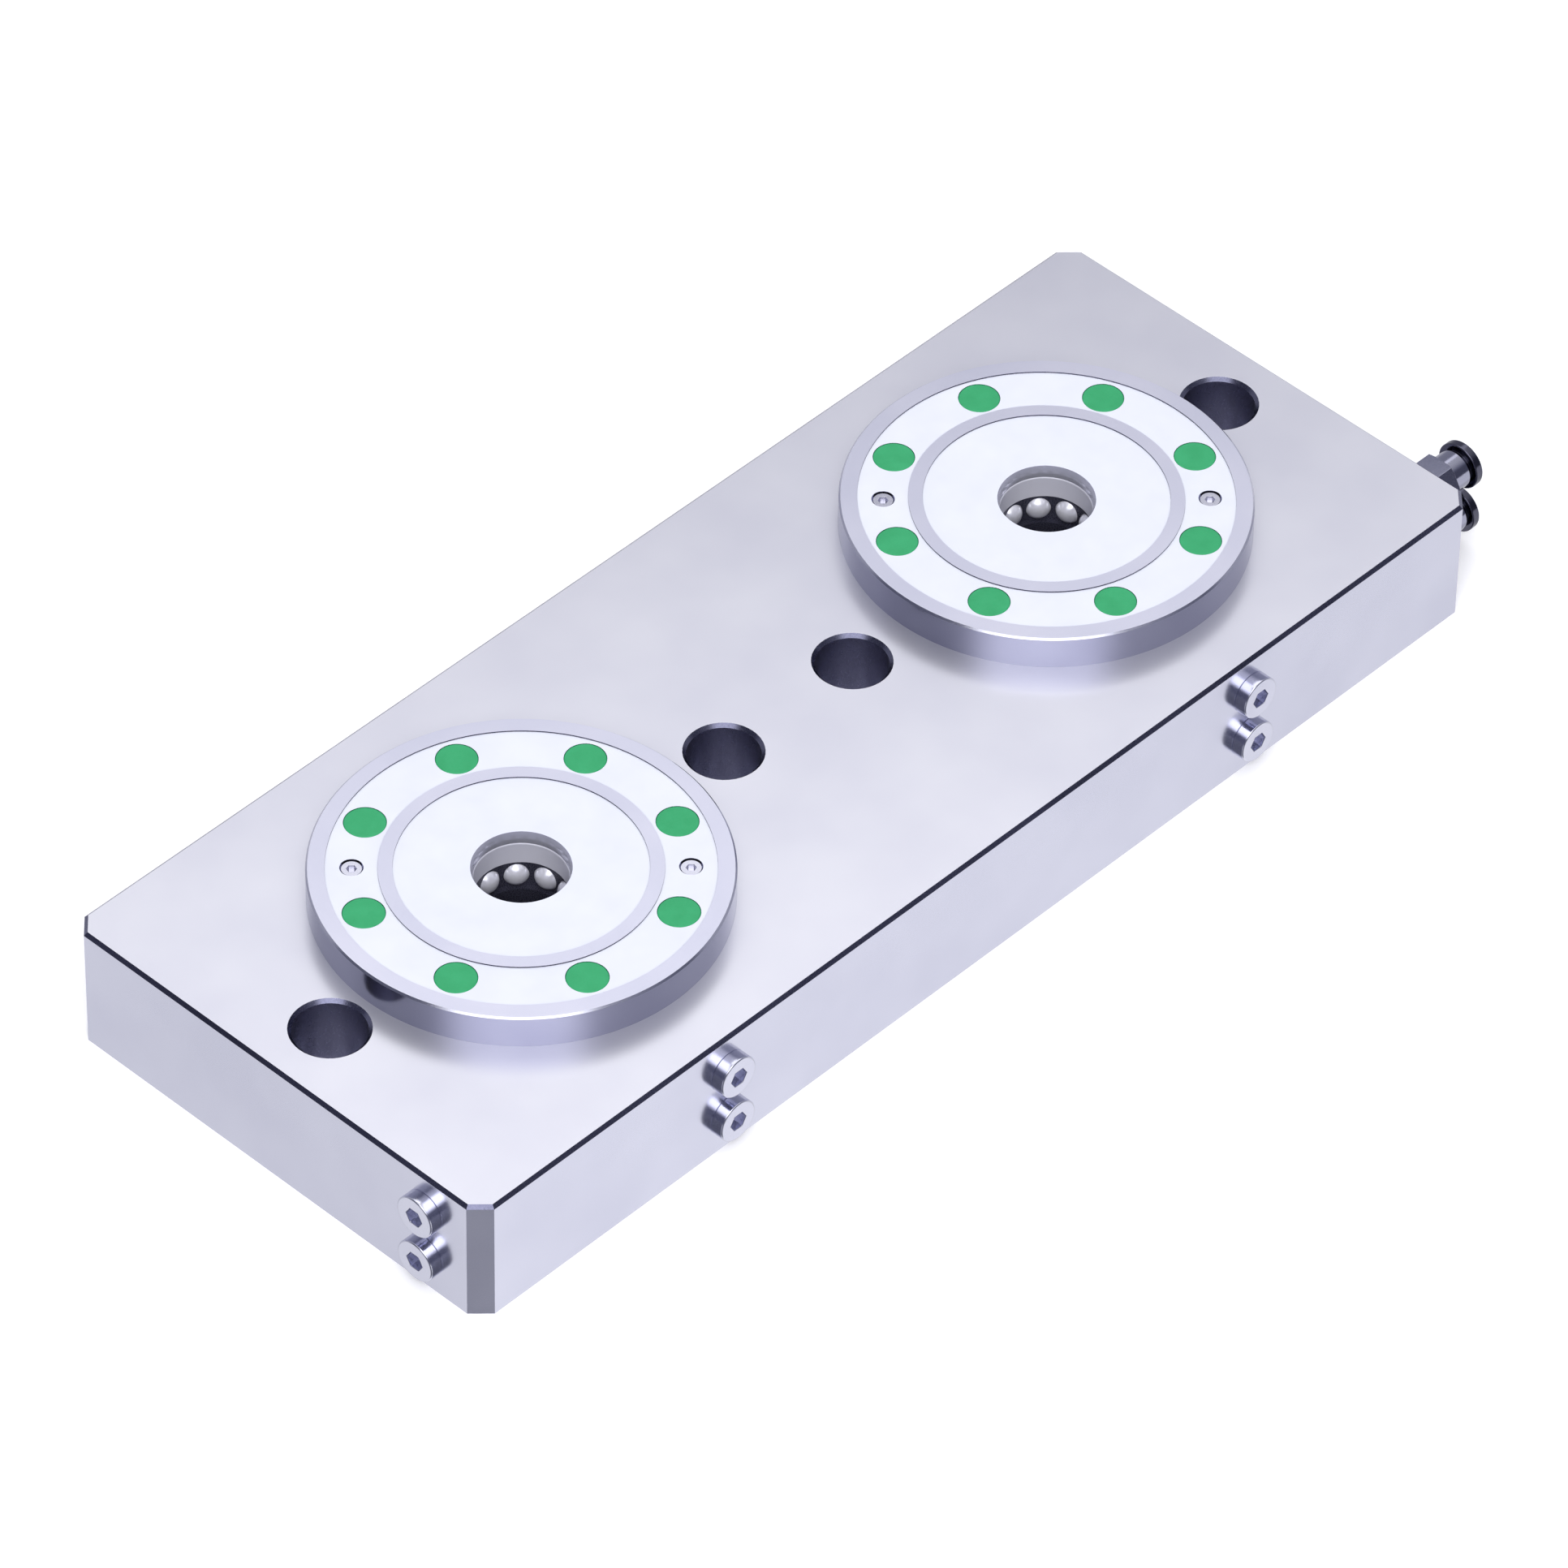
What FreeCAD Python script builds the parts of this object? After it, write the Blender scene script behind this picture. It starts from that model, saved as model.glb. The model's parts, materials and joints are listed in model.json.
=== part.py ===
import FreeCAD, Part
import math
import os
import Sketcher

# Pneumatic chuck: a base plate that carries two zero-point clamping chucks.
#
# Frame: the origin is the middle of the plate's underside, +Z is up, +X runs along the plate
# towards the air fittings, and the long face with the port plugs looks along -Y.
# Sizes are in millimetres and angles in degrees.
#
# Inside each chuck a ring of springs pushes an annular piston down. The piston's cone then holds
# the balls in, against a pull stud in the bore. Air under the piston lifts it, and the balls can
# move out.

doc = FreeCAD.newDocument("PneumaticChuck")
sheet = doc.addObject("Spreadsheet::Sheet", "Sizes")
sheet_rows = []


class Size:
    """A value together with the spreadsheet expression that gives it."""

    def __init__(self, value, text):
        self.value = float(value)
        self.text = text

    def __add__(self, other):
        other = as_size(other)
        return Size(self.value + other.value, f"({self.text} + {other.text})")

    def __sub__(self, other):
        other = as_size(other)
        return Size(self.value - other.value, f"({self.text} - {other.text})")

    def __mul__(self, other):
        other = as_size(other)
        return Size(self.value * other.value, f"({self.text} * {other.text})")

    def __truediv__(self, other):
        other = as_size(other)
        return Size(self.value / other.value, f"({self.text} / {other.text})")

    def __neg__(self):
        return Size(-self.value, f"(0 - {self.text})")


def as_size(number):
    return number if isinstance(number, Size) else Size(number, str(number))


def size(alias, value, meaning):
    """Write one driving size to the sheet and return it."""
    sheet_rows.append(alias)
    row = len(sheet_rows)
    sheet.set(f"A{row}", meaning)
    sheet.set(f"B{row}", str(value))
    sheet.setAlias(f"B{row}", alias)
    return Size(value, f"Sizes.{alias}")


def cosine(angle):
    angle = as_size(angle)
    return Size(math.cos(math.radians(angle.value)), f"cos({angle.text})")


def sine(angle):
    angle = as_size(angle)
    return Size(math.sin(math.radians(angle.value)), f"sin({angle.text})")


def slope_angle(slope):
    return Size(math.degrees(math.atan(slope.value)), f"atan({slope.text})")


NOTHING = Size(0, "0")

# Ball cage and balls. The radii of a chuck are built up from the circle of the ball centres.
ball_dia = size("ball_dia", 8, "clamping ball")
ball_count = size("ball_count", 10, "balls in one chuck")
ball_angle = size("ball_angle", 15, "first ball from the X axis")
ball_circle = size("ball_circle", 29, "circle of the ball centres when locked")
window_gap = size("window_gap", 0.1, "clearance of a ball in its window")
cage_outer_wall = size("cage_outer_wall", 3, "cage outside the ball centres")
cage_inner_wall = size("cage_inner_wall", 1.8, "cage inside the ball centres")
cage_gap = size("cage_gap", 0.02, "clearance round the cage's ends")
cage_seat = size("cage_seat", 3, "how deep the cage stands in the end cover")
cage_floor = size("cage_floor", 6, "floor of the cage under the stud")
ledge_width = size("ledge_width", 1.7, "ledge under the balls")
ledge_lap = size("ledge_lap", 0.3, "ledge above the lowest point of the balls")
cage_dia = ball_circle + cage_outer_wall * 2
cage_bore = ball_circle - cage_inner_wall * 2
ledge_bore = cage_bore - ledge_width * 2

# Stud bore and guide bush
bush_step = size("bush_step", 0.2, "guide bush inside the cage's bore")
bush_wall = size("bush_wall", 1.5, "wall of the guide bush")
bush_chamfer = size("bush_chamfer", 0.3, "chamfer of the guide bush")
bush_ball_gap = size("bush_ball_gap", 0.2, "guide bush above the balls")
throat_step = size("throat_step", 0.2, "throat outside the bush's bore")
lead_in_step = size("lead_in_step", 0.6, "widening of the lead-in on the radius")
lead_in_bulge = size("lead_in_bulge", 0.15, "widening at the middle of the lead-in")
lead_in = size("lead_in", 2.6, "length of the lead-in")
mouth_depth = size("mouth_depth", 3.6, "white face to the guide bush")
bush_bore = cage_bore - bush_step * 2
bush_dia = bush_bore + bush_wall * 2
throat_dia = bush_bore + throat_step * 2
mouth_dia = throat_dia + lead_in_step * 2

# Locking piston
cone_slope = size("cone_slope", 0.4, "ball travel for each mm of piston travel")
cone_gap = size("cone_gap", 0.05, "cone to ball at rest")
cone_run_out = size("cone_run_out", 1.7, "cone below its last contact")
piston_section = size("piston_section", 15, "cage to cylinder wall")
piston_travel = size("piston_travel", 6, "lift of the piston")
piston_gap = size("piston_gap", 0.05, "running gap of the piston on the radius")
piston_foot = size("piston_foot", 1.3, "piston above the end cover at rest")
piston_base = size("piston_base", 7.05, "piston below the recess for the balls")
piston_rim = size("piston_rim", 2.6, "piston above the ball centres at rest")
ball_floor_gap = size("ball_floor_gap", 0.35, "recess under the balls at full lift")
roof_gap = size("roof_gap", 0.3, "piston to roof at full lift")
roof_thickness = size("roof_thickness", 6, "roof of the cylinder up to the white face")
piston_seal_dia = size("piston_seal_dia", 2.5, "section of the outer piston seal")
piston_seal_height = size("piston_seal_height", 4.1, "outer seal above the piston's foot")
stem_seal_dia = size("stem_seal_dia", 2.0, "section of the inner piston seal")
stem_seal_height = size("stem_seal_height", 3.5, "inner seal above the piston's foot")
cylinder_dia = cage_dia + piston_section * 2

# Clamp springs
spring_count = size("spring_count", 12, "springs in one chuck")
spring_pocket_dia = size("spring_pocket_dia", 8.2, "pocket for a spring")
spring_pocket_wall = size("spring_pocket_wall", 1.8, "cylinder bore to a pocket's edge")
spring_dia = size("spring_dia", 7.6, "outside of a spring")
spring_wire = size("spring_wire", 1.2, "wire of a spring")
spring_length = size("spring_length", 18, "length of a spring when the chuck is locked")
spring_turns = size("spring_turns", 7, "turns of a spring")
spring_circle = cylinder_dia - spring_pocket_dia - spring_pocket_wall * 2

# End cover and retaining ring
pocket_floor = size("pocket_floor", 7, "plate left under each chuck")
cover_stand = size("cover_stand", 3, "end cover above the pocket floor")
cover_thickness = size("cover_thickness", 5, "thickness of the end cover")
cover_seal_dia = size("cover_seal_dia", 2.0, "section of the cover's ring")
stop_inset = size("stop_inset", 2, "cylinder bore to the piston's stop")
stop_width = size("stop_width", 2.5, "width of the piston's stop")
stop_gap = size("stop_gap", 0.2, "stop to piston at rest")
snap_thickness = size("snap_thickness", 1.2, "thickness of the retaining ring")
snap_depth = size("snap_depth", 1.6, "how deep the ring sits in its groove")
snap_width = size("snap_width", 4.4, "radial width of the ring")
snap_opening = size("snap_opening", 14, "opening between the ring's ends")
snap_eye_dia = size("snap_eye_dia", 2, "holes for ring pliers")
snap_eye_inset = size("snap_eye_inset", 1.1, "those holes inside the ring's middle")
snap_gap = size("snap_gap", 0.05, "clearance of the ring in its groove")

# Spigot of the chuck body, with its air grooves and rings
spigot_wall = size("spigot_wall", 7, "cylinder bore to the outside of the spigot")
spigot_gap = size("spigot_gap", 0.05, "clearance round the spigot")
spigot_foot = size("spigot_foot", 0.5, "spigot above the pocket floor")
passage_dia = size("passage_dia", 2.6, "air passages in the spigot wall")
passage_inset = size("passage_inset", 3.2, "cylinder bore to the middle of a passage")
cross_hole_dia = size("cross_hole_dia", 3.2, "holes from the grooves to the passages")
cross_hole_end = size("cross_hole_end", 0.3, "those holes beyond the passage")
passage_end = size("passage_end", 0.65, "passage ends below the top of its relief")
groove_height = size("groove_height", 4, "height of the air grooves round the spigot")
groove_depth = size("groove_depth", 1, "depth of the air grooves")
relief_depth = size("relief_depth", 2.4, "depth of the reliefs in the cylinder")
relief_height = size("relief_height", 2.6, "height of those reliefs")
spigot_seal_dia = size("spigot_seal_dia", 1.9, "section of the rings round the spigot")
lower_seal_rise = size("lower_seal_rise", 8, "lower ring above the lower air line")
upper_seal_rise = size("upper_seal_rise", 7.5, "upper ring above the upper air line")
spigot_dia = cylinder_dia + spigot_wall * 2
passage_circle = cylinder_dia + passage_inset * 2

# Screws that hold each chuck, and their caps
screw_count = size("screw_count", 8, "flange screws in one chuck")
screw_angle = size("screw_angle", 22.5, "first flange screw from the X axis")
screw_dia = size("screw_dia", 6, "thread of a flange screw")
screw_wall = size("screw_wall", 1.5, "plate between the spigot and a thread")
screw_length = size("screw_length", 16, "length under the head")
screw_hole_gap = size("screw_hole_gap", 0.3, "clearance of the screw in the flange")
thread_gap = size("thread_gap", 0.03, "clearance of a screw in its thread")
tap_spare = size("tap_spare", 2, "tapped hole beyond a screw's end")
head_dia = size("head_dia", 10, "low head of a flange screw")
head_height = size("head_height", 4, "height of that head")
head_key = size("head_key", 4, "hexagon socket across flats")
head_key_depth = size("head_key_depth", 2.2, "depth of that socket")
cap_lip = size("cap_lip", 0.7, "cap wider than the screw's head, on the radius")
cap_gap = size("cap_gap", 0.05, "clearance round a cap")
cap_thickness = size("cap_thickness", 2, "thickness of a cap")
cap_edge = size("cap_edge", 0.25, "chamfer of a cap")
cap_stand = size("cap_stand", 0.05, "cap above the white face")
cap_head_gap = size("cap_head_gap", 0.25, "cap above the screw's head")
pin_count = size("pin_count", 2, "small screws in one chuck")
pin_screw_dia = size("pin_screw_dia", 3, "thread of a small screw")
pin_screw_length = size("pin_screw_length", 12, "length under the small head")
pin_head_dia = size("pin_head_dia", 5.5, "head of a small screw")
pin_head_height = size("pin_head_height", 3, "height of the small head")
pin_head_gap = size("pin_head_gap", 0.4, "clearance round the small head")
pin_head_sink = size("pin_head_sink", 0.4, "small head below the white face")
pin_key = size("pin_key", 2.5, "small hexagon socket across flats")
pin_key_depth = size("pin_key_depth", 1.5, "depth of the small socket")
pin_step = size("pin_step", 2.5, "first small screw from the first flange screw, in screw steps")
screw_circle = spigot_dia + screw_dia + screw_wall * 2
cap_dia = head_dia + cap_lip * 2
seat_depth = cap_thickness - cap_stand + cap_head_gap + head_height
pin_seat_depth = pin_head_height + pin_head_sink
screw_step = as_size(360) / screw_count
pin_angle = screw_angle + screw_step * pin_step

# Flange of the chuck body
flange_height = size("flange_height", 10, "flange above the plate")
flange_edge = size("flange_edge", 0.5, "chamfer of the flange's rim")
face_step = size("face_step", 0.4, "contact rings above the white face")
inner_cap_margin = size("inner_cap_margin", 1, "inner contact ring to the caps' recesses")
inner_ring_width = size("inner_ring_width", 3.85, "width of the inner contact ring")
outer_cap_margin = size("outer_cap_margin", 1.25, "caps' recesses to the outer contact ring")
outer_ring_width = size("outer_ring_width", 5, "width of the outer contact ring")
inner_ring_dia = screw_circle - cap_dia - (cap_gap + inner_cap_margin) * 2
inner_ring_bore = inner_ring_dia - inner_ring_width * 2
outer_ring_bore = screw_circle + cap_dia + (cap_gap + outer_cap_margin) * 2
flange_dia = outer_ring_bore + outer_ring_width * 2

# Holes that bolt the plate to a machine table
chuck_pitch = size("chuck_pitch", 200, "between the two chuck centres")
bolt_hole_dia = size("bolt_hole_dia", 13.5, "through hole for an M12 bolt")
bolt_head_dia = size("bolt_head_dia", 20, "counterbore for the bolt head")
bolt_head_depth = size("bolt_head_depth", 24, "depth of that counterbore")
bolt_mouth_chamfer = size("bolt_mouth_chamfer", 1, "chamfer of the counterbore's mouth")
outer_bolt_gap = size("outer_bolt_gap", 3.5, "flange to an outer counterbore")
inner_bolt_gap = size("inner_bolt_gap", 9.5, "flange to an inner counterbore")
outer_bolt_pitch = chuck_pitch + flange_dia + bolt_head_dia + outer_bolt_gap * 2
inner_bolt_pitch = chuck_pitch - flange_dia - bolt_head_dia - inner_bolt_gap * 2

# Base plate
end_margin = size("end_margin", 10.5, "outer counterbores to the plate's ends")
side_margin = size("side_margin", 19, "flanges to the plate's long faces")
corner_cut = size("corner_cut", 5, "chamfer of the upright corners")
edge_chamfer = size("edge_chamfer", 1, "chamfer round the top")
plate_length = outer_bolt_pitch + bolt_head_dia + end_margin * 2
plate_width = flange_dia + side_margin * 2

# Push-in fittings
fitting_hex = size("fitting_hex", 14, "hexagon across flats")
fitting_hex_length = size("fitting_hex_length", 9.2, "length of the hexagon")
fitting_hex_edge = size("fitting_hex_edge", 0.4, "chamfer of the hexagon's outer end")
fitting_shank = size("fitting_shank", 9, "threaded length of a fitting")
fitting_bore_dia = size("fitting_bore_dia", 5, "air way through a fitting")
tube_dia = size("tube_dia", 8.2, "bore that takes an 8 mm tube")
tube_stop = size("tube_stop", 2, "tube end from the plate's face")
tube_seal_width = size("tube_seal_width", 2.0, "width of the tube seal")
ring_thickness = size("ring_thickness", 0.6, "thickness of the grab ring")
inner_step = size("inner_step", 0.3, "gap between the parts inside a fitting")
sleeve_wall = size("sleeve_wall", 0.75, "wall of the release sleeve")
sleeve_gap = size("sleeve_gap", 0.05, "running gap of the sleeve on the radius")
sleeve_depth = size("sleeve_depth", 6.6, "sleeve inside the neck")
neck_wall = size("neck_wall", 0.85, "neck outside the sleeve")
neck_length = size("neck_length", 6.1, "length of the neck")
collar_lip = size("collar_lip", 1.3, "collar's flange outside the neck")
collar_length = size("collar_length", 2.5, "thickness of that flange")
collar_edge = size("collar_edge", 0.4, "rounded edge of that flange")
collar_travel = size("collar_travel", 1.2, "how far the collar can be pushed in")
collar_rest = size("collar_rest", 0.1, "gap left when it is pushed right in")
sleeve_dia = tube_dia + sleeve_wall * 2
neck_dia = sleeve_dia + neck_wall * 2
collar_dia = neck_dia + collar_lip * 2

# Air lines in the plate, one above the other, and their threaded ports
line_dia = size("line_dia", 6, "bore of the air lines")
line_inset = size("line_inset", 20, "lines from the plate's front face")
line_stand = size("line_stand", 4, "release line above the pocket floor")
line_pitch = size("line_pitch", 16, "release line to the line above it")
port_thread_dia = size("port_thread_dia", 9.7, "thread of plugs and fittings")
port_thread_gap = size("port_thread_gap", 0.03, "thread clearance on the radius")
port_spare = size("port_spare", 1, "threaded port beyond a fitting's shank")
port_seal_wall = size("port_seal_wall", 1.05, "sealing ring outside the thread")
port_seal_depth = size("port_seal_depth", 1, "thickness of the sealing ring")
seal_gap = size("seal_gap", 0.05, "clearance round a seal in its recess")
line_offset = plate_width / 2 - line_inset
port_depth = fitting_shank + port_spare
port_seal_dia = port_thread_dia + port_seal_wall * 2

# Port plugs
plug_lip = size("plug_lip", 0.3, "plug head outside the sealing ring")
plug_head = size("plug_head", 3.9, "how far a plug head stands out")
plug_edge = size("plug_edge", 0.5, "rounded edge of a plug head")
plug_key = size("plug_key", 5, "hexagon socket across flats")
plug_key_depth = size("plug_key_depth", 3.2, "depth of the hexagon socket")
plug_shank = size("plug_shank", 8, "threaded length of a plug")
plug_head_dia = port_seal_dia + plug_lip * 2

# Cuts that start in the open
cut_margin = size("cut_margin", 1, "how far a cut starts outside its piece")

doc.recompute()

# Levels, from the pocket floor up to the faces that carry the pallet
spigot_bottom = pocket_floor + spigot_foot
lower_line = pocket_floor + line_stand
upper_line = lower_line + line_pitch
lower_seal_height = lower_line + lower_seal_rise
upper_seal_height = upper_line + upper_seal_rise
cover_height = pocket_floor + cover_stand
cover_top = cover_height + cover_thickness
cage_bottom = cover_top - cage_seat
socket_floor = cage_bottom + cage_floor
piston_bottom = cover_top + piston_foot
recess_floor = piston_bottom + piston_base
ball_radius = ball_dia / 2
ball_height = recess_floor + ball_floor_gap + piston_travel + ball_radius
ledge_height = ball_height - ball_radius + ledge_lap
piston_top = ball_height + piston_rim
roof = piston_top + piston_travel + roof_gap
white_face = roof + roof_thickness
contact_face = white_face + face_step
plate_height = contact_face - flange_height
bush_top = white_face - mouth_depth
bush_foot = ball_height + ball_radius + bush_ball_gap
screw_seat = white_face - seat_depth
pin_seat = white_face - pin_seat_depth

# Cone of the piston and the radii that follow from it
ball_orbit = ball_circle / 2
cone_tilt = slope_angle(cone_slope)
contact_height = ball_height + ball_radius * sine(cone_tilt)
contact_radius = ball_orbit + ball_radius * cosine(cone_tilt) + cone_gap
cone_top_radius = contact_radius - cone_slope * (piston_top - contact_height)
recess_corner = contact_height - piston_travel - cone_run_out
recess_radius = contact_radius + cone_slope * (piston_travel + cone_run_out)
piston_radius = cylinder_dia / 2 - piston_gap
piston_bore = cage_dia / 2 + piston_gap
snap_radius = cylinder_dia / 2 + snap_depth
chuck_centres = {"left": -(chuck_pitch / 2), "right": chuck_pitch / 2}


def check(item):
    """Stop if an object failed, or holds no sound shape."""
    if "Invalid" in item.State or "Error" in item.State:
        raise RuntimeError(f"{item.Label} has the state {item.State}")
    if item.Shape.isNull() or not item.Shape.isValid():
        raise RuntimeError(f"{item.Label} has no valid shape")


def bind(item, prop, value):
    """Let a property follow the sheet."""
    item.setExpression(prop, as_size(value).text)


def place(item, x, y, z, turn=None):
    """Put an object in the part's frame. A turn is a fixed rotation."""
    rotation = turn or FreeCAD.Rotation()
    item.Placement = FreeCAD.Placement(FreeCAD.Vector(0, 0, 0), rotation)
    for axis, value in (("x", x), ("y", y), ("z", z)):
        bind(item, f"Placement.Base.{axis}", value)


def turned(axis, degrees):
    return FreeCAD.Rotation(FreeCAD.Vector(*axis), degrees)


def new_body(label):
    body = doc.addObject("PartDesign::Body", label)
    body.Label = label
    body.AllowCompound = True
    return body


def new_sketch(body, name, plane, offset=None):
    """A sketch on one of the body's own origin planes, moved along the plane's normal."""
    sketch = body.newObject("Sketcher::SketchObject", name)
    support = [item for item in body.Origin.OriginFeatures if item.Role == plane][0]
    sketch.AttachmentSupport = (support, [""])
    sketch.MapMode = "FlatFace"
    if offset is not None:
        offset = as_size(offset)
        sketch.AttachmentOffset = FreeCAD.Placement(
            FreeCAD.Vector(0, 0, offset.value), FreeCAD.Rotation())
        bind(sketch, "AttachmentOffset.Base.z", offset)
    return sketch


def tie_point(sketch, geometry, end, across, up):
    """Fix one point of a sketch by its two coordinates."""
    for kind, axis, value in (("DistanceX", -2, across), ("DistanceY", -1, up)):
        value = as_size(value)
        if value.value == 0:
            sketch.addConstraint(Sketcher.Constraint("PointOnObject", geometry, end, axis))
            continue
        if value.value < 0:
            pair = (geometry, end, -1, 1)
        else:
            pair = (-1, 1, geometry, end)
        index = sketch.addConstraint(Sketcher.Constraint(kind, *pair, abs(value.value)))
        bind(sketch, f"Constraints[{index}]", -value if value.value < 0 else value)


def draw_outline(sketch, points):
    """A closed outline of straight runs through the given points."""
    points = [(as_size(across), as_size(up)) for across, up in points]
    spots = [FreeCAD.Vector(across.value, up.value, 0) for across, up in points]
    lines = []
    for start, end in zip(spots, spots[1:] + spots[:1]):
        lines.append(sketch.addGeometry(Part.LineSegment(start, end)))
    for line, following in zip(lines, lines[1:] + lines[:1]):
        sketch.addConstraint(Sketcher.Constraint("Coincident", line, 2, following, 1))
    for line, (across, up) in zip(lines, points):
        tie_point(sketch, line, 1, across, up)


def draw_circle(sketch, across, up, diameter):
    across, up, diameter = as_size(across), as_size(up), as_size(diameter)
    centre = FreeCAD.Vector(across.value, up.value, 0)
    circle = sketch.addGeometry(Part.Circle(centre, FreeCAD.Vector(0, 0, 1), diameter.value / 2))
    index = sketch.addConstraint(Sketcher.Constraint("Diameter", circle, diameter.value))
    bind(sketch, f"Constraints[{index}]", diameter)
    tie_point(sketch, circle, 3, across, up)


def draw_line_axis(sketch, start, end):
    """A construction line to turn about, drawn first in its sketch. Returns its name."""
    ends = [FreeCAD.Vector(across.value, up.value, 0) for across, up in (start, end)]
    line = sketch.addGeometry(Part.LineSegment(*ends), True)
    tie_point(sketch, line, 1, *start)
    tie_point(sketch, line, 2, *end)
    return "Axis0"


def draw_hexagon(sketch, across, up, flats):
    """A hexagon with a flat at the top and at the bottom."""
    corner = flats / 2 / cosine(30)
    points = []
    for step in range(6):
        points.append((across + corner * cosine(60 * step), up + corner * sine(60 * step)))
    points[0] = (across + corner, up)
    points[3] = (across - corner, up)
    draw_outline(sketch, points)


def revolve(body, name, points, axis="V_Axis"):
    """Turn an outline of (radius, height) points into a solid of the body."""
    sketch = new_sketch(body, f"{name}_outline", "XZ_Plane")
    draw_outline(sketch, points)
    solid = body.newObject("PartDesign::Revolution", name)
    solid.Profile = sketch
    solid.ReferenceAxis = (sketch, [axis])
    solid.Angle = 360
    doc.recompute()
    check(solid)
    return solid


def pad(body, name, sketch, length, backwards=False):
    solid = body.newObject("PartDesign::Pad", name)
    solid.Profile = sketch
    solid.Length = as_size(length).value
    bind(solid, "Length", length)
    solid.Reversed = backwards
    doc.recompute()
    check(solid)
    return solid


def cut(body, name, sketch, depth, backwards=False):
    """Pocket a sketch and make sure that it removed material."""
    before = body.Shape.Volume
    solid = body.newObject("PartDesign::Pocket", name)
    solid.Profile = sketch
    solid.Length = as_size(depth).value
    bind(solid, "Length", depth)
    solid.Reversed = backwards
    doc.recompute()
    check(solid)
    if body.Shape.Volume >= before:
        raise RuntimeError(f"{solid.Label} cuts nothing")
    return solid


def cut_circles(body, name, plane, offset, circles, depth, backwards=False):
    """Drill round holes, each given as (across, up, diameter)."""
    sketch = new_sketch(body, f"{name}_circles", plane, offset)
    for across, up, diameter in circles:
        draw_circle(sketch, across, up, diameter)
    return cut(body, name, sketch, depth, backwards)


def repeat_round(body, name, features, count):
    """Repeat features evenly about the body's Z axis."""
    pattern = body.newObject("PartDesign::PolarPattern", name)
    pattern.Originals = features
    z_axis = [item for item in body.Origin.OriginFeatures if item.Role == "Z_Axis"][0]
    pattern.Axis = (z_axis, [""])
    pattern.Angle = 360
    pattern.Occurrences = int(as_size(count).value)
    bind(pattern, "Occurrences", count)
    body.Tip = pattern
    doc.recompute()
    check(pattern)
    return pattern


def dress_edges(body, name, kind, base, edges, amount):
    """Round or chamfer edges of a feature."""
    dressed = body.newObject(f"PartDesign::{kind}", name)
    dressed.Base = (base, edges)
    prop = "Radius" if kind == "Fillet" else "Size"
    setattr(dressed, prop, amount.value)
    bind(dressed, prop, amount)
    doc.recompute()
    check(dressed)
    return dressed


def named_edges(feature, test):
    """The names of the feature's edges that pass a test."""
    edges = enumerate(feature.Shape.Edges, start=1)
    return [f"Edge{number}" for number, edge in edges if test(edge)]


def is_circle(edge, radius, level, axis="z"):
    """Is the edge a full circle of this radius at this level along an axis?"""
    if not isinstance(edge.Curve, Part.Circle):
        return False
    same_radius = abs(edge.Curve.Radius - radius.value) < 1e-4
    same_level = abs(getattr(edge.Curve.Center, axis) - level.value) < 1e-4
    return same_radius and same_level


def lies_at(edge, level):
    """Does the whole edge lie at one height?"""
    box = edge.BoundBox
    return abs(box.ZMin - level.value) < 1e-4 and abs(box.ZMax - level.value) < 1e-4


def ring(label, orbit, section, x, y, z, turn=None):
    """An O-ring: the orbit is the radius of its section's centre."""
    torus = doc.addObject("Part::Torus", label)
    torus.Label = label
    bind(torus, "Radius1", orbit)
    bind(torus, "Radius2", section / 2)
    place(torus, x, y, z, turn)
    return torus


def flat_ring(label, outer_dia, inner_dia, thickness, x, y, z, turn):
    """A flat ring with its underside at the given place."""
    disc = doc.addObject("Part::Cylinder", f"{label}_disc")
    bind(disc, "Radius", outer_dia / 2)
    bind(disc, "Height", thickness)
    hole = doc.addObject("Part::Cylinder", f"{label}_hole")
    bind(hole, "Radius", inner_dia / 2)
    bind(hole, "Height", thickness)
    result = doc.addObject("Part::Cut", label)
    result.Base = disc
    result.Tool = hole
    place(result, x, y, z, turn)
    return result


def group(label, members):
    """Several like pieces under one name."""
    doc.recompute()
    compound = doc.addObject("Part::Compound", label)
    compound.Label = label
    compound.Links = members
    return compound


def plate_ports():
    """Place and outward turn of each port: (name, x, y, z, turn of a piece that points along +X)."""
    ports = []
    for level_name, level in (("lower", lower_line), ("upper", upper_line)):
        for side, centre in chuck_centres.items():
            ports.append((f"{side}_{level_name}", centre, -(plate_width / 2), level,
                          turned((0, 0, 1), -90)))
        ports.append((f"end_{level_name}", -(plate_length / 2), -line_offset, level,
                      turned((0, 0, 1), 180)))
    return ports


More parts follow.
